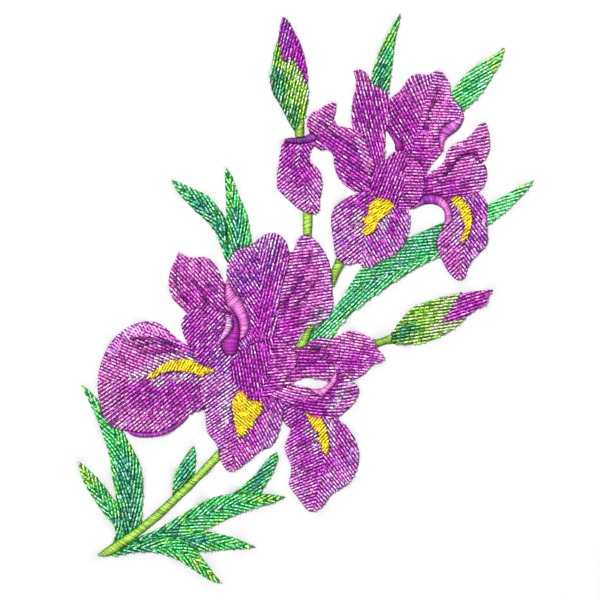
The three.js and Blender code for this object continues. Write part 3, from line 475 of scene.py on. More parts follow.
def makeTwistGroup():
    # height of the plies of a thread: a sine of the length along it plus one turn around it
    group = bpy.data.node_groups.new("threadTwist", "ShaderNodeTree")
    socketIn(group, "Plies per mm", "NodeSocketFloat", 1.6)
    socketIn(group, "Fuzz", "NodeSocketFloat", 0.4)
    socketOut(group, "Height", "NodeSocketFloat")
    socketOut(group, "Colour", "NodeSocketColor")
    nodes, links = group.nodes, group.links
    start, end = nodes.new("NodeGroupInput"), nodes.new("NodeGroupOutput")
    thread = nodes.new("ShaderNodeUVMap")
    thread.uv_map = "thread"
    split = nodes.new("ShaderNodeSeparateXYZ")
    links.new(thread.outputs["UV"], split.inputs[0])
    along = mathNode(nodes, "MULTIPLY")
    links.new(split.outputs["X"], along.inputs[0])
    links.new(start.outputs["Plies per mm"], along.inputs[1])
    turn = mathNode(nodes, "ADD")
    links.new(along.outputs[0], turn.inputs[0])
    links.new(split.outputs["Y"], turn.inputs[1])
    phase = mathNode(nodes, "MULTIPLY", i1=2 * math.pi)
    links.new(turn.outputs[0], phase.inputs[0])
    ply = mathNode(nodes, "SINE")
    links.new(phase.outputs[0], ply.inputs[0])
    place = nodes.new("ShaderNodeTexCoord")
    fuzz = nodes.new("ShaderNodeTexNoise")
    fuzz.inputs["Scale"].default_value = 6000
    links.new(place.outputs["Object"], fuzz.inputs["Vector"])
    rough = mathNode(nodes, "MULTIPLY")
    links.new(fuzz.outputs["Fac"], rough.inputs[0])
    links.new(start.outputs["Fuzz"], rough.inputs[1])
    height = mathNode(nodes, "ADD")
    links.new(ply.outputs[0], height.inputs[0])
    links.new(rough.outputs[0], height.inputs[1])
    links.new(height.outputs[0], end.inputs["Height"])
    colour = nodes.new("ShaderNodeAttribute")
    colour.attribute_name = "threadColour"
    # painted shade and light: the thread's colour is darker in the grooves between plies and lighter on their crests
    tone = nodes.new("ShaderNodeMapRange")
    tone.inputs["From Min"].default_value = -1
    tone.inputs["From Max"].default_value = 1
    tone.inputs["To Min"].default_value = 0.88
    tone.inputs["To Max"].default_value = 1.04
    links.new(ply.outputs[0], tone.inputs["Value"])
    shaded = nodes.new("ShaderNodeVectorMath")
    shaded.operation = "SCALE"
    links.new(colour.outputs["Color"], shaded.inputs[0])
    links.new(tone.outputs["Result"], shaded.inputs["Scale"])
    links.new(shaded.outputs["Vector"], end.inputs["Colour"])
    return group


def startMaterial(name, roughness):
    material = bpy.data.materials.new(name)
    material.use_nodes = True
    nodes, links = material.node_tree.nodes, material.node_tree.links
    surface = nodes["Principled BSDF"]
    surface.inputs["Roughness"].default_value = roughness
    return material, nodes, links, surface


def addBump(nodes, links, surface, height, strength, depth):
    bump = nodes.new("ShaderNodeBump")
    bump.inputs["Strength"].default_value = strength
    bump.inputs["Distance"].default_value = depth * millimetre
    links.new(height, bump.inputs["Height"])
    links.new(bump.outputs["Normal"], surface.inputs["Normal"])


def addRamp(nodes, links, source, low, high):
    tint = nodes.new("ShaderNodeValToRGB")
    tint.color_ramp.elements[0].color = (*low, 1)
    tint.color_ramp.elements[1].color = (*high, 1)
    links.new(source, tint.inputs["Fac"])
    return tint.outputs["Color"]


def makeThreadMaterial(name, roughness, twist):
    material, nodes, links, surface = startMaterial(name, roughness)
    surface.inputs["Sheen Weight"].default_value = threadSheen
    surface.inputs["Specular IOR Level"].default_value = 0.25
    group = nodes.new("ShaderNodeGroup")
    group.node_tree = twist
    links.new(group.outputs["Colour"], surface.inputs["Base Color"])
    addBump(nodes, links, surface, group.outputs["Height"], 0.5, 0.04)
    return material


def makeClothMaterial():
    material, nodes, links, surface = startMaterial("ground_cloth", 0.9)
    surface.inputs["Sheen Weight"].default_value = 0.15
    surface.inputs["Specular IOR Level"].default_value = 0.3
    place = nodes.new("ShaderNodeTexCoord")
    heights = []
    for direction in ("X", "Y"):
        yarn = nodes.new("ShaderNodeTexWave")
        yarn.bands_direction = direction
        yarn.inputs["Scale"].default_value = 720  # yarns about 0.44 mm apart
        yarn.inputs["Distortion"].default_value = 0.6
        yarn.inputs["Detail"].default_value = 1
        links.new(place.outputs["Object"], yarn.inputs["Vector"])
        heights.append(yarn.outputs["Fac"])
    weave = mathNode(nodes, "MULTIPLY")
    links.new(heights[0], weave.inputs[0])
    links.new(heights[1], weave.inputs[1])
    tint = addRamp(nodes, links, weave.outputs[0], (0.62, 0.62, 0.62), (0.68, 0.68, 0.68))
    drawn = nodes.new("ShaderNodeAttribute")
    drawn.attribute_name = "paintedClothShade"
    shaded = nodes.new("ShaderNodeVectorMath")
    shaded.operation = "MULTIPLY"
    links.new(tint, shaded.inputs[0])
    links.new(drawn.outputs["Color"], shaded.inputs[1])
    links.new(shaded.outputs["Vector"], surface.inputs["Base Color"])
    addBump(nodes, links, surface, weave.outputs[0], 0.35, 0.08)
    return material


def makeBackingMaterial():
    material, nodes, links, surface = startMaterial("backing", 0.95)
    place = nodes.new("ShaderNodeTexCoord")
    fibres = nodes.new("ShaderNodeTexNoise")
    fibres.inputs["Scale"].default_value = 900
    fibres.inputs["Detail"].default_value = 6
    fibres.inputs["Distortion"].default_value = 2.5
    links.new(place.outputs["Object"], fibres.inputs["Vector"])
    tint = addRamp(nodes, links, fibres.outputs["Fac"], (0.74, 0.74, 0.72), (0.90, 0.90, 0.88))
    links.new(tint, surface.inputs["Base Color"])
    addBump(nodes, links, surface, fibres.outputs["Fac"], 0.6, 0.1)
    return material


def put(name, points, loops, sizes, loopUvs=None, colours=None, colourName="threadColour"):
    # a mesh from arrays: points in mm, the corners of all faces in a row, and each face's corner count
    mesh = bpy.data.meshes.new(name)
    mesh.vertices.add(len(points))
    mesh.vertices.foreach_set("co", (points * millimetre).astype(np.float32).ravel())
    mesh.loops.add(len(loops))
    mesh.loops.foreach_set("vertex_index", loops.astype(np.int32))
    mesh.polygons.add(len(sizes))
    starts = np.concatenate(([0], np.cumsum(sizes)[:-1])).astype(np.int32)
    mesh.polygons.foreach_set("loop_start", starts)
    mesh.polygons.foreach_set("use_smooth", np.ones(len(sizes), bool))
    mesh.update(calc_edges=True)
    for uvName, uv in (loopUvs or {}).items():
        layer = mesh.uv_layers.new(name=uvName)
        layer.data.foreach_set("uv", uv.astype(np.float32).ravel())
    if colours is not None:
        layer = mesh.color_attributes.new(colourName, "FLOAT_COLOR", "POINT")
        opaque = np.concatenate((colours, np.ones((len(colours), 1))), axis=1)
        layer.data.foreach_set("color", opaque.astype(np.float32).ravel())
    mesh.validate()
    piece = bpy.data.objects.new(name, mesh)
    bpy.context.scene.collection.objects.link(piece)
    return piece


def nodeTriangles(name):
    # a CAD node's corners in mm with doubles merged, and its triangles
    mesh = frame["nodes"][name].data
    co = np.zeros(len(mesh.vertices) * 3, np.float32)
    mesh.vertices.foreach_get("co", co)
    mesh.calc_loop_triangles()
    tris = np.zeros(len(mesh.loop_triangles) * 3, np.int32)
    mesh.loop_triangles.foreach_get("vertices", tris)
    places = np.round(co.reshape(-1, 3).astype(float) / millimetre, 3)
    points, index = np.unique(places, axis=0, return_inverse=True)
    return points, index.ravel()[tris].reshape(-1, 3)


def outlineEdges(points, tris):
    # the edges that only one triangle of the upper face has, as N x 2 ends x 2 values
    top = points[:, 2].max()
    upper = tris[np.all(points[tris, 2] > top - 0.01, axis=1)]
    edges = np.sort(np.concatenate((upper[:, :2], upper[:, 1:], upper[:, ::2])), axis=1)
    single, counts = np.unique(edges, axis=0, return_counts=True)
    return points[single[counts == 1], :2]


def insideOutline(x, y, edges):
    # even-odd rule: how many edges a ray to the right crosses
    inside = np.zeros(len(x), bool)
    x0, y0, x1, y1 = edges[:, 0, 0], edges[:, 0, 1], edges[:, 1, 0], edges[:, 1, 1]
    slope = (x1 - x0) / np.where(y1 == y0, 1, y1 - y0)
    for first in range(0, len(x), 20000):
        px, py = x[first:first + 20000, None], y[first:first + 20000, None]
        crossed = ((y0 > py) != (y1 > py)) & (px < x0 + (py - y0) * slope)
        inside[first:first + 20000] = crossed.sum(axis=1) % 2 == 1
    return inside


def denseOutline(edges):
    # places all along an outline
    share = np.linspace(0, 1, 8, endpoint=False)[None, :, None]
    return (edges[:, :1] * (1 - share) + edges[:, 1:] * share).reshape(-1, 2)


def nearestDistance(x, y, places):
    # how far each point is from the nearest of some places
    found = np.full(len(x), np.inf, np.float32)
    if len(places):
        px, py = places[:, 0].astype(np.float32), places[:, 1].astype(np.float32)
        for first in range(0, len(x), 8000):
            dx = x[first:first + 8000, None].astype(np.float32) - px
            dy = y[first:first + 8000, None].astype(np.float32) - py
            found[first:first + 8000] = np.sqrt((dx * dx + dy * dy).min(axis=1))
    return found


def lineDistance(x, y, points):
    # the distance of each place from a broken line
    found = np.full(len(x), np.inf)
    ends = np.array(points, float)
    for a, b in zip(ends, ends[1:] if len(ends) > 1 else ends):
        step = b - a
        share = ((x - a[0]) * step[0] + (y - a[1]) * step[1]) / max(step @ step, 1e-9)
        share = np.clip(share, 0, 1)
        found = np.minimum(found, np.hypot(x - a[0] - share * step[0], y - a[1] - share * step[1]))
    return found


def pickThreads(x, y, style, edges, random):
    # each stitch takes one thread, with the odds of the mixes around it, and some of them get a painted gleam, a
    # highlight
    odds = np.tile(mixWeights[style["base"]] * mixing["base"], (len(x), 1))
    if "edge" in style:
        inward = nearestDistance(x, y, denseOutline(edges))
        near = np.exp(-(inward / mixing["edgeReach"]) ** 2) * mixing["edge"]
        odds += near[:, None] * mixWeights[style["edge"]]
    for points, distance, mix in style.get("shades", ()):
        near = np.exp(-(lineDistance(x, y, points) / distance) ** 2) * mixing["shade"]
        odds += near[:, None] * mixWeights[mix]
    total = odds[:, :-2].sum(axis=1)
    paintedGleam = (random.random(len(x)) < odds[:, -2] / total) * random.uniform(0.25, 0.95, len(x))
    tone = odds[:, -1] / total
    odds = np.cumsum(odds[:, :-2] / total[:, None], axis=1)
    chosen = (random.random(len(x))[:, None] > odds).sum(axis=1).clip(0, len(threadNames) - 1)
    around = np.diff(odds, axis=1, prepend=0) @ threadColours
    colours = threadColours[chosen] * mixing["ownThread"] + around * (1 - mixing["ownThread"])
    spread = mixing["satinToneSpread" if "satin" in style else "toneSpread"]
    return colours * (tone * random.normal(1, spread, len(x)).clip(0.7, 1.3))[:, None], paintedGleam


def tintStitches(colours, paintedGleam, dark, stations, sides, u, rise):
    # along the crown a stitch has its own colour, its flanks and its ends are deeper and darkened with painted shade,
    # and a stitch that gleams has a painted highlight, nearly white in the middle of its crown, whatever the lamps do
    turn = np.arange(sides) * 2 * math.pi / sides + math.pi / sides
    crown = np.clip(np.sin(turn), 0, 1)[None, :]
    flank, dip, deepening = painted["flank"], painted["dip"], painted["deepening"]
    light = (flank + (1 - flank) * crown) * (dip + (1 - dip) * rise)[:, None]
    light = light[None] * dark[:, None, None]
    body = colours[:, None, None, :] ** (1 + deepening - deepening * light[..., None]) * light[..., None]
    paintedSpark = (crown ** 3 * np.clip(1.1 - np.abs(2 * u - 1) ** 2, 0, 1)[:, None])[None]
    paintedSpark = paintedSpark * (paintedGleam * dark)[:, None, None]
    return np.minimum(body + (linearColour(paintedGleamColour) - body) * paintedSpark[..., None], 1)


def extendLine(line, reach):
    # a line's points, with one more at each end that carries it on by the reach
    knots = np.array(line, float)
    first, last = knots[0] - knots[1], knots[-1] - knots[-2]
    before = knots[0] + first / np.hypot(*first) * reach
    after = knots[-1] + last / np.hypot(*last) * reach
    return np.concatenate(([before], knots, [after]))


def runAlong(knots):
    return np.concatenate(([0], np.cumsum(np.hypot(*np.diff(knots, axis=0).T))))


def softened(values, half, **padding):
    # the mean of each value and as many on both sides as half says
    width = 2 * half + 1
    return np.convolve(np.pad(values, half, **padding), np.ones(width) / width, mode="valid")


def softLine(knots, run, s, half):
    # the places along a line at the lengths s, with its bends rounded
    return [softened(np.interp(s, run, knots[:, k]), half, mode="reflect", reflect_type="odd") for k in (0,
                                                                                                         1)]


def layRows(line, turns, bend, pitch, reach, bothWays, extend=12):
    # rows start on a line, at even distances across them, and each runs on as an arc of its angle
    knots = extendLine(line, extend)
    run = runAlong(knots)
    fine = 0.05
    s = np.arange(0, run[-1], fine)
    x, y = np.interp(s, run, knots[:, 0]), np.interp(s, run, knots[:, 1])
    heading = np.unwrap(np.arctan2(np.gradient(y), np.gradient(x)))
    heading = softened(heading, 20, mode="edge")
    if callable(turns):
        angle = turns(heading)
    else:
        whole = run[-2] - run[1]
        places = (run[1:-1] - run[1]) / whole if len(turns) == len(line) else np.linspace(0, 1, len(turns))
        angle = np.radians(np.interp((s - run[1]) / whole, places, turns))
    across = np.cumsum(np.abs(np.sin(angle - heading)) * fine) / pitch
    rowAt = np.interp(np.arange(0.5, across[-1]), across, s)
    t = np.arange(-reach if bothWays else 0, reach, rowStep)
    turned = np.interp(rowAt, s, angle)[:, None] + np.radians(bend) * t
    zero = int(np.argmin(np.abs(t)))
    dx, dy = np.cumsum(np.cos(turned), axis=1) * rowStep, np.cumsum(np.sin(turned), axis=1) * rowStep
    px = np.interp(rowAt, s, x)[:, None] + dx - dx[:, zero:zero + 1]
    py = np.interp(rowAt, s, y)[:, None] + dy - dy[:, zero:zero + 1]
    return px, py, t


def layAlong(line, spread, side, pitch, reach):
    # rows leave a bent rib at one small angle, measured along the rib and out from it: a row's distance
    # from the rib is the way run along it times the tangent of the angle, so the rows never fan out
    knots = extendLine(line, reach)
    run = runAlong(knots)
    s = np.arange(0, run[-1], 0.1)
    x, y = softLine(knots, run, s, 30)
    heading = np.unwrap(np.arctan2(np.gradient(y), np.gradient(x)))
    t = np.arange(0, 1.5 * reach, rowStep)
    start = np.arange(0, s[-1], pitch / math.sin(spread))
    where = start[:, None] + t * math.cos(spread)
    out = side * t * math.sin(spread)
    turned = np.interp(where, s, heading)
    px = np.interp(where, s, x) - np.sin(turned) * out
    py = np.interp(where, s, y) + np.cos(turned) * out
    return px, py, t


def cutStitches(px, py, t, edges, length, random):
    # each row keeps what lies inside the outline, cut to stitches that are offset from row to row
    rows = np.arange(len(px))
    offset = (rows * 0.38 % 1) + random.normal(0, 0.16, len(px))
    # a sine with its own phase in each row makes the stitches longer and shorter in turn
    uneven = 0.2 * np.sin(t * 2.1 + random.uniform(0, 6, len(px))[:, None])
    cell = np.floor(t / length + offset[:, None] + uneven) if length else np.zeros_like(px)
    low, high = edges.min(axis=(0, 1)), edges.max(axis=(0, 1))
    inBox = (px > low[0] - seam) & (px < high[0] + seam)
    inBox &= (py > low[1] - seam) & (py < high[1] + seam)
    found = np.flatnonzero(inBox.ravel())
    fx, fy = px.ravel()[found], py.ravel()[found]
    found = found[insideOutline(fx, fy, edges) | (nearestDistance(fx, fy, denseOutline(edges)) < seam)]
    if not len(found):
        return np.zeros((0, 3, 2)), np.zeros(0, bool)
    piece = cell.ravel()[found]
    cuts = np.flatnonzero((np.diff(found) > 1) | (np.diff(piece) != 0) | (np.diff(found // px.shape[1]) != 0))
    start = found[np.concatenate(([0], cuts + 1))]
    end = found[np.concatenate((cuts, [len(found) - 1]))]
    middle = (start + end) // 2
    ends = [np.stack((px.ravel()[k], py.ravel()[k]), axis=1) for k in (start, middle, end)]
    made = np.stack(ends, axis=1) + random.normal(0, 0.05, (len(start), 3, 2))
    odd = start // px.shape[1] % 2 == 1
    keep = np.hypot(*(made[:, 2] - made[:, 0]).T) > shortestStitch
    return made[keep], odd[keep]


def followLine(line, length):
    # stitches one after another along a softened line
    knots = np.array(line, float)
    run = runAlong(knots)
    s = np.arange(0, run[-1], 0.1)
    x, y = softLine(knots, run, s, 10)
    count = max(1, round(run[-1] / length))
    cuts = np.linspace(0, len(s) - 1, 2 * count + 1).astype(int)
    places = np.stack((x, y), axis=1)[cuts]
    return np.stack((places[:-1:2], places[1::2], places[2::2]), axis=1)


def threadTubes(ends, look, base, random, stations=5, sides=6, satin=False):
    # a stitch is an elliptic tube along the parabola through its three places, which rises from the
    # cloth as one minus a power of the distance from its middle, and thins where it goes in
    a, m, b = ends[:, 0], ends[:, 1], ends[:, 2]
    way = b - a
    span = np.hypot(*way.T)[:, None]
    way = way / np.maximum(span, 1e-6)
    look = {key: np.broadcast_to(value, len(a)) for key, value in look.items()}
    a, b = a - way * look["ends"][:, None], b + way * look["ends"][:, None]
    u = np.array([0, 0.18, 0.5, 0.82,
                  1]) if stations == 5 else (1 - np.cos(np.linspace(0, math.pi, stations))) / 2
    q = u[None, :, None]
    bow = 4 * (m - (a + b) / 2)[:, None, :] * q * (1 - q)
    flat = a[:, None, :] * (1 - q) + b[:, None, :] * q + bow
    power = 2 if satin else 4
    rise = 1 - np.abs(2 * u - 1) ** power
    wide = look["width"] * random.normal(1, 0.06, len(a)).clip(0.85, 1.15)
    lift = look["rise"] * np.minimum(1, 0.35 + span[:, 0] / 2) if satin else look["rise"] + random.normal(0,
                                                                                                          0.03, len(a))
    centre = np.concatenate((flat, (base - 0.04 + lift[:, None] * rise)[..., None]), axis=2)
    thin = 0.55 + 0.45 * np.minimum(1, rise * 3)
    side = np.stack((-way[:, 1], way[:, 0], np.zeros(len(a))), axis=1)
    turn = np.arange(sides) * 2 * math.pi / sides + math.pi / sides
    across = wide[:, None, None] / 2 * thin[None, :, None] * np.cos(turn)
    up = look["height"][:, None, None] / 2 * thin[None, :, None] * np.sin(turn)
    points = centre[:, :, None, :] + across[..., None] * side[:, None, None, :]
    points[..., 2] += up
    count = len(a)
    index = np.arange(count * stations * sides).reshape(count, stations, sides)
    nextSide = np.roll(index, -1, axis=2)
    quads = np.stack((index[:, :-1], index[:, 1:], nextSide[:, 1:], nextSide[:, :-1]), axis=-1)
    capA, capB = index[:, 0, :], index[:, -1, ::-1]
    grid = math.ceil(math.sqrt(count + 1))
    cellX, cellY = (np.arange(count) % grid) / grid, (np.arange(count) // grid) / grid
    along = u[None, :] * span
    k, j = np.meshgrid(np.arange(stations - 1), np.arange(sides), indexing="ij")
    cornerStation = np.stack((k, k + 1, k + 1, k), axis=-1)
    cornerSide = np.stack((j, j, j + 1, j + 1), axis=-1)
    uvThread = np.stack((along[:, cornerStation],
                         np.broadcast_to(cornerSide / sides, (count,) + cornerSide.shape)), axis=-1)
    inCell = 0.15 + 0.7 * np.stack((u[cornerStation], cornerSide / sides), axis=-1)
    uvBake = (inCell[None] + np.stack((cellX, cellY), axis=1)[:, None, None, None] * grid) / grid
    capThread = np.zeros((count, 2, sides, 2))
    capThread[:, 1, :, 0] = span
    capBake = np.zeros((count, 2, sides, 2))
    capBake[:] = (np.stack((cellX, cellY), axis=1) + 0.5 / grid)[:, None, None]
    loops = np.concatenate((quads.ravel(), np.stack((capA, capB), axis=1).ravel()))
    sizes = np.concatenate((np.full(count * (stations - 1) * sides, 4), np.full(count * 2, sides)))
    uvs = {
        "thread": np.concatenate((uvThread.reshape(-1, 2), capThread.reshape(-1, 2))),
        "OFBake": np.concatenate((uvBake.reshape(-1, 2), capBake.reshape(-1, 2))),
    }
    return points.reshape(-1, 3), loops, sizes, uvs, u, rise, flat[:, stations // 2]


def growPlate(points, tris, distance):
    # a plate whose sides are moved outwards by the distance
    top = points[:, 2].max()
    upper = tris[np.all(points[tris, 2] > top - 0.01, axis=1)]
    way = np.concatenate((upper[:, :2], upper[:, 1:], upper[:, [2, 0]]))
    code = way[:, 0] * len(points) + way[:, 1]
    back = way[:, 1] * len(points) + way[:, 0]
    rim = way[~np.isin(code, back)]
    step = points[rim[:, 1], :2] - points[rim[:, 0], :2]
    out = np.stack((step[:, 1], -step[:, 0]), axis=1) / np.hypot(*step.T)[:, None]
    total = np.zeros((len(points), 2))
    np.add.at(total, rim[:, 0], out)
    np.add.at(total, rim[:, 1], out)
    size = np.hypot(*total.T)
    moved = np.unique(rim)
    grown = points.copy()
    # both ends' normals add up to twice the cosine of half the turn, which the corner's offset divides by
    shift = total[moved] / size[moved, None] * (distance / np.maximum(size[moved] / 2, 0.7))[:, None]
    places, index = np.unique(points[:, :2], axis=0, return_inverse=True)
    shiftAt = np.zeros((len(places), 2))
    shiftAt[index.ravel()[moved]] = shift
    grown[:, :2] += shiftAt[index.ravel()]
    return grown


def sewPatch(name, style, kind, number, fronts):
    random = np.random.default_rng(seed * 1000 + number)
    sew = sewing[kind]
    points, tris = nodeTriangles(name)
    edges = outlineEdges(points, tris)
    low, high = edges.min(axis=(0, 1)), edges.max(axis=(0, 1))
    reach = float(np.hypot(*(high - low)))
    if "satin" in style:
        slant = math.radians(style.get("slant", 12))
        parts = [layRows(style["satin"], lambda heading: heading + math.pi / 2 + slant, 0, sew["pitch"], 8,
                         True)]
    elif "spread" in style:
        spread = math.radians(style["spread"])
        parts = [layAlong(style["rib"], spread, side, sew["pitch"], reach) for side in (1, -1)]
    elif "rib" in style:
        parts = [layRows(style["rib"], style[side], 0, sew["pitch"], reach * 1.6, False,
                         reach * 1.3) for side in ("left", "right")]
    else:
        lower, upper = style["rows"]
        up = math.radians((lower + upper) / 2 + 90)
        middle = (low + high) / 2
        arm = np.array((math.cos(up), math.sin(up))) * reach / 2
        parts = [layRows([middle - arm, middle + arm], (lower, upper), style.get("bend", 0), sew["pitch"],
                         reach, True)]
    groups = [(*cutStitches(*part, edges, sew["length"], random), sew) for part in parts]
    for line, turns, across in style.get("margins", ()):
        rows = layRows(line, turns, 0, sewing["margin"]["pitch"], across, True, 0.1)
        groups.append((*cutStitches(*rows, edges, sewing["margin"]["length"], random), sewing["margin"]))
    for line in style.get("veins", ()):
        places = followLine(line, sewing["vein"]["length"])
        groups.append((places, np.zeros(len(places), bool), sewing["vein"]))
    ends = np.concatenate([group[0] for group in groups])
    tubeLook = ("width", "height", "rise", "ends", "sunk", "shade")
    look = {key: np.concatenate([np.full(len(group[0]),
                                         group[2][key]) for group in groups]) for key in tubeLook}
    deep = np.concatenate([group[1] for group in groups]) & (look["sunk"] > 0)
    look["rise"] = look["rise"] - look["sunk"] * deep
    isVein = look["width"] == sewing["vein"]["width"]
    satin = "satin" in style
    base = clothTop + (0.25 if kind == "beard" else 0)
    stations = 9 if satin else 5
    tubePoints, loops, sizes, uvs, u, rise, places = threadTubes(ends, look, base, random, stations, 6, satin)
    x, y = places[:, 0], places[:, 1]
    colours, paintedGleam = pickThreads(x, y, style, edges, random)
    colours[isVein], paintedGleam[isVein | deep] = linearColour(veinColour), 0
    # painted shade: sunk rows are darker and raised rows lighter, each stitch by a random amount
    sunkDark = look["shade"] * np.exp(random.normal(0, painted["sunkSpread"], len(x)))
    spread = painted["satinSpread" if satin else "raisedSpread"]
    raisedDark = random.normal(painted["raised"], spread, len(x)).clip(painted["darkest"],
                                                                       painted["lightest"])
    # painted shadow: stitches close to the outlines of the patches in front are darkened
    frontShadow = np.exp(-(nearestDistance(x, y, fronts) / painted["frontReach"]) ** 2)
    dark = np.where(deep, sunkDark, raisedDark) * (1 - painted["underFront"] * frontShadow)
    # painted shade: fill stitches beside a vein are darkened
    for line in style.get("veins", ()):
        beside = np.exp(-(lineDistance(x, y, line) / painted["veinReach"]) ** 2)
        dark = dark * np.where(isVein, 1, 1 - painted["besideVein"] * beside)
    vertexColours = tintStitches(colours, paintedGleam, dark, stations, 6, u, rise).reshape(-1, 3)
    # the underlay that is sewn first: the patch's own outline, thin, below the rows, dark as a painted shade in the
    # gaps
    under = growPlate(points, tris, seam)
    bottom, top = points[:, 2].min(), points[:, 2].max()
    under[:, 2] = np.where(points[:, 2] < (bottom + top) / 2, clothTop - 0.1, base + 0.1)
    underLoops = (tris + len(tubePoints)).ravel()
    cell = 1 / math.ceil(math.sqrt(len(ends) + 1))
    underUv = (points[tris.ravel(), :2] - low) / (high - low) * 0.7 * cell + 1 - 0.85 * cell
    uvs = {key: np.concatenate((uv, underUv if key == "OFBake" else underUv * 0)) for key, uv in uvs.items()}
    underlayShade = np.tile(colours.mean(axis=0) ** 1.5 * 0.25, (len(under), 1))
    piece = put(
        name + "_stitches", np.concatenate((tubePoints, under)), np.concatenate((loops, underLoops)),
        np.concatenate((sizes, np.full(len(tris), 3))), uvs, np.concatenate((vertexColours, underlayShade)),
    )
    slotName = nodeSlots[name]
    piece.data.materials.append(threadMaterials[slotName])
    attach(piece, "root")
    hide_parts(name)
    return edges, len(ends)


def waves(x, y, count, lengths, random):
    # a gentle random surface: the mean of sines with random directions and wavelengths
    total = np.zeros_like(x)
    turns, sizes, phases = random.random(count) * 2 * math.pi, random.uniform(*lengths,
                                                                              count), random.random(count)
    for way, size, phase in zip(turns, sizes, phases):
        total += np.sin(2 * math.pi * ((x * math.cos(way) + y * math.sin(way)) / size + phase))
    return total / math.sqrt(count)


def squareRing(count):
    # places round the unit square's outline, with small rounded corners
    turn = (np.arange(count) + 0.5) / count * 2 * math.pi
    x, y = np.cos(turn), np.sin(turn)
    cornerPower = 40
    size = (np.abs(x) ** cornerPower + np.abs(y) ** cornerPower) ** (1 / cornerPower)
    return x / size, y / size


clothShape = {"thickness": 0.35, "turnUnder": 8.0, "pucker": 0.16, "puckerReach": 5.0, "wave": 0.05,
              "low": 0.02}

# How much painted shade darkens the cloth's colour beside the stitches, and how far out: a strong and a wide part.
clothShade = ((0.12, 0.8), (0.11, 2.6))


def makeCloth(outlines, material):
    # one sheet carried round a square: its profile runs from the middle out to the edge, turns under
    # twice as a hem, and comes back along the underside, so the sheet is one closed body
    random = np.random.default_rng(seed)
    half = panelSide / 2
    thick, hem, low = clothShape["thickness"], clothShape["turnUnder"], clothShape["low"]
    count = 400
    top = clothTop
    outer = np.linspace(0, half - 0.7, 100)[1:]
    fold = np.linspace(math.pi / 2, -math.pi / 2, 9)[1:-1]
    reach = (top - low) / 2
    middleZ = low + reach
    profile = [(0.001, top)] + [(r, top) for r in outer]
    profile += [(half - reach + reach * math.cos(a), middleZ + reach * math.sin(a)) for a in fold]
    lowerOut = np.linspace(half - reach, half - hem + 0.15, 8)
    profile += [(r, low) for r in lowerOut]
    innerReach = (top - thick - 0.03 - low) / 2
    innerMiddle = low + innerReach
    inner = half - hem + innerReach
    profile += [(inner - innerReach * math.cos(a), innerMiddle - innerReach * math.sin(a)) for a in fold]
    turned, lower, bottom = low + innerReach * 2, low + innerReach * 2 - thick * 0.8, low + thick * 0.8
    profile += [(r, turned) for r in np.linspace(inner, half - 1.4, 7)]
    profile += [(half - 1.4, lower)]
    profile += [(r, lower) for r in np.linspace(inner + 0.1, half - 1.6, 7)[::-1]]
    profile += [(inner, low + thick * 0.95)]
    profile += [(r, bottom) for r in np.linspace(inner + 0.3, half - 1.3, 7)]
    profile += [(half - 0.45, bottom + 0.1), (half - 0.45, top - thick - 0.1)]
    profile += [(half - 1.0, top - thick)]
    profile += [(r, top - thick) for r in np.linspace(0, half - 1.6, 60)[1:][::-1]]
    profile += [(0.001, top - thick)]
    profile = np.array(profile)
    ringX, ringY = squareRing(count)
    x = profile[:, 0][:, None] * ringX
    y = profile[:, 0][:, None] * ringY
    z = np.repeat(profile[:, 1][:, None], count, axis=1)
    near = nearestDistance(x.ravel(), y.ravel(), outlines[::3]).reshape(x.shape)
    ripple = waves(x, y, 14, (5, 11), random)
    drawn = np.exp(-near / clothShape["puckerReach"]) * clothShape["pucker"]
    calm = np.clip((half - hem - np.maximum(np.abs(x), np.abs(y))) / 6, 0, 1)
    sway = clothShape["wave"] * waves(x, y, 10, (26, 60), random)
    shift = (drawn * (ripple * 0.8 - 0.6) + sway) * calm
    body = (profile[:, 1] > clothTop - thick - 0.01)[:, None]
    z = z + np.where(body, np.minimum(shift, 0.03), 0)
    rings, around = x.shape
    index = np.arange(rings * around).reshape(rings, around)
    following = np.roll(index, -1, axis=1)
    quads = np.stack((index[:-1], index[1:], following[1:], following[:-1]), axis=-1)
    centre = np.array([[0, 0, z[0].mean()], [0, 0, z[-1].mean()]])
    first, last = rings * around, rings * around + 1
    capTop = np.stack((np.full(around, first), index[0], following[0]), axis=-1)
    capLow = np.stack((np.full(around, last), following[-1], index[-1]), axis=-1)
    points = np.concatenate((np.stack((x, y, z), axis=-1).reshape(-1, 3), centre))
    loops = np.concatenate((quads.ravel(), capTop.ravel(), capLow.ravel()))
    sizes = np.concatenate((np.full(quads.size // 4, 4), np.full(around * 2, 3)))
    # painted shade: the cloth's colour is darkened beside the stitches, most where its ripples dip
    shade = sum(strength * np.exp(-near / reach) for strength, reach in clothShade)
    tone = 1 - (shade * np.clip(0.8 - 0.4 * ripple, 0, 1.6) * body).ravel()
    tone = np.repeat(np.concatenate((tone, [1, 1]))[:, None], 3, axis=1)
    piece = put("ground_cloth_sheet", points, loops, sizes, None, tone, "paintedClothShade")
    piece.data.materials.append(material)
    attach(piece, "root")
    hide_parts("ground_cloth")
    return piece


def makeBacking(material):
    # the CAD node's own outline, as a thin soft sheet
    points, tris = nodeTriangles("backing")
    thin = points.copy()
    lowZ, highZ = backingTop - 0.22, backingTop + 0.05
    thin[:, 2] = np.where(points[:, 2] < points[:, 2].mean(), lowZ, highZ)
    piece = put("backing_sheet", thin, tris.ravel(), np.full(len(tris), 3))
    piece.data.polygons.foreach_set("use_smooth", np.zeros(len(tris), bool))
    piece.data.materials.append(material)
    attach(piece, "root")
    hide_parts("backing")
    return piece


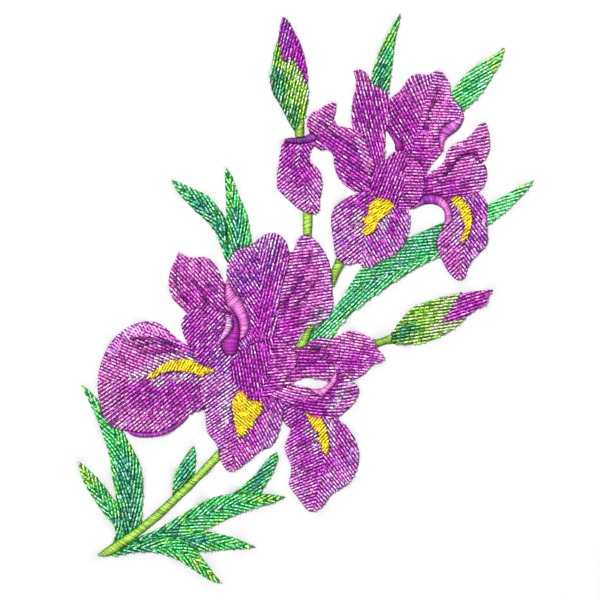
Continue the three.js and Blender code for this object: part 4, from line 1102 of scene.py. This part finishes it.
def sewOneColour(name, ends, sew, base, colour, node, random, flip=False, stations=5, sides=6):
    made = threadTubes(ends, sew, 0, random, stations, sides)
    points, loops, sizes, uvs, u, rise, _ = made
    if flip:
        points[:, 2] = base - points[:, 2]
        starts = np.cumsum(sizes) - sizes
        order = np.repeat(starts + sizes - 1, sizes) - (np.arange(len(loops)) - np.repeat(starts, sizes))
        loops = loops[order]
        uvs = {key: uv[order] for key, uv in uvs.items()}
    else:
        points[:, 2] += base
    tone = linearColour(colour) * random.normal(1, 0.03, (len(ends), 1))
    # painted shade: each stitch is darker towards its ends, where it dips into the cloth
    light = (0.75 + 0.25 * np.minimum(1, rise * 1.6))[None, :, None, None]
    colours = np.broadcast_to(tone[:, None, None, :] * light, (len(ends), stations, sides, 3)).reshape(-1, 3)
    piece = put(name, points, loops, sizes, uvs, colours)
    piece.data.materials.append(threadMaterials["white_thread"])
    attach(piece, "root")
    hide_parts(node)
    return piece


hemSewing = {"inset": 1.7, "stitch": 2.6, "gap": 0.35, "width": 0.34, "height": 0.24, "rise": 0.12,
             "ends": 0.02}


def makeHemThread():
    # a straight run of stitches round the hem, close to its inner edge
    random = np.random.default_rng(seed + 1)
    half = panelSide / 2 - clothShape["turnUnder"] + hemSewing["inset"]
    step = hemSewing["stitch"] + hemSewing["gap"]
    count = int(2 * half / step)
    start = -half + np.arange(count) * (2 * half / count)
    run = np.stack((start, start + hemSewing["stitch"] / 2, start + hemSewing["stitch"]), axis=1)
    across = np.full_like(run, half)
    sidesOf = [np.stack(pair, axis=-1) for pair in ((run, across), (-across, run), (-run, -across),
                                                    (across, -run))]
    return sewOneColour("hem_stitches", np.concatenate(sidesOf), hemSewing, clothTop, (0.95, 0.95, 0.94),
                        "hem_thread", random)


bobbinSewing = {"pitch": 0.85, "length": 2.6, "width": 0.42, "height": 0.2, "rise": 0.2, "ends": 0.05}


def makeBobbinThread(angle=38):
    # white rows on the back, under the whole design
    random = np.random.default_rng(seed + 2)
    points, tris = nodeTriangles("bobbin_thread")
    edges = outlineEdges(points, tris)
    low, high = edges.min(axis=(0, 1)), edges.max(axis=(0, 1))
    reach = float(np.hypot(*(high - low)))
    arm = np.array((-math.sin(math.radians(angle)), math.cos(math.radians(angle)))) * reach / 2
    middle = (low + high) / 2
    rows = layRows([middle - arm, middle + arm], (angle, angle), 0, bobbinSewing["pitch"], reach * 0.7, True)
    ends, _ = cutStitches(*rows, edges, bobbinSewing["length"], random)
    base = backingTop - 0.2
    return sewOneColour("bobbin_stitches", ends, bobbinSewing, base, (0.93, 0.93, 0.92), "bobbin_thread",
                        random, True, 5, 5)


def makeStage():
    floor = bpy.data.meshes.new("floor")
    floorReach, floorHeight = 3, -0.0002
    corners = [(x * floorReach, y * floorReach, floorHeight) for x, y in ((-1, -1), (1, -1), (1, 1), (-1, 1))]
    floor.from_pydata(corners, [], [(0, 1, 2, 3)])
    stage = bpy.data.objects.new("floor", floor)
    bpy.context.scene.collection.objects.link(stage)
    paint = bpy.data.materials.new("floor")
    paint.use_nodes = True
    paint.node_tree.nodes["Principled BSDF"].inputs["Base Color"].default_value = (0.46, 0.46, 0.46, 1)
    paint.node_tree.nodes["Principled BSDF"].inputs["Roughness"].default_value = 0.9
    floor.materials.append(paint)


lightTable = {
    "key": {"place": (-0.72, 0.88, 1.06), "size": 0.44, "power": 35.5},
    "fill": {"place": (0.7, -0.3, 0.9), "size": 0.9, "power": 5.0},
}
skyStrength = 0.46
viewTable = {"frameWidth": 168.0, "lens": 100.0, "sensor": 36.0}


def makeLightsAndCamera():
    scene = bpy.context.scene
    for name, light in lightTable.items():
        data = bpy.data.lights.new(name, "AREA")
        data.size = light["size"]
        data.energy = light["power"]
        lamp = bpy.data.objects.new(name, data)
        lamp.location = light["place"]
        aim = -np.array(light["place"]) / np.linalg.norm(light["place"])
        lamp.rotation_mode = "QUATERNION"
        lamp.rotation_quaternion = Vector(aim).to_track_quat("-Z", "Y")
        scene.collection.objects.link(lamp)
    world = bpy.data.worlds.new("studio")
    world.use_nodes = True
    world.node_tree.nodes["Background"].inputs["Color"].default_value = (1, 1, 1, 1)
    world.node_tree.nodes["Background"].inputs["Strength"].default_value = skyStrength
    scene.world = world
    scene.view_settings.view_transform = "Standard"
    lens = bpy.data.cameras.new("camera")
    lens.lens, lens.sensor_width, lens.clip_start = viewTable["lens"], viewTable["sensor"], 0.01
    camera = bpy.data.objects.new("camera", lens)
    height = viewTable["frameWidth"] / viewTable["sensor"] * viewTable["lens"]
    camera.location = (0, 0, (height + clothTop) * millimetre)
    scene.collection.objects.link(camera)
    scene.camera = camera


nodeSlots = {part["node"]: part["material_slot"] for part in frame["record"]["subparts"]}
threadTwist = makeTwistGroup()
threadMaterials = {name: makeThreadMaterial(name, roughness, threadTwist) for name,
                   roughness in threadRoughness.items()}

makeStage()
makeLightsAndCamera()
patchStyles = {**lowerIris, **upperIris, **budsAndStems, **leaves}
outlines, stitchCount = [], 0
for number, (name, style) in enumerate(patchStyles.items()):
    kind = "satin" if "satin" in style else "beard" if name.endswith("beard") else "fill"
    fronts = np.concatenate(outlines) if outlines else np.zeros((0, 2))
    edges, count = sewPatch(name, style, kind, number, fronts)
    outlines.append(denseOutline(edges))
    stitchCount += count
print("top thread:", len(patchStyles), "patches,", stitchCount, "stitches")

makeBobbinThread()
print("bobbin thread sewn")
makeBacking(makeBackingMaterial())
makeCloth(np.concatenate(outlines), makeClothMaterial())
makeHemThread()
print("cloth, backing and hem laid")
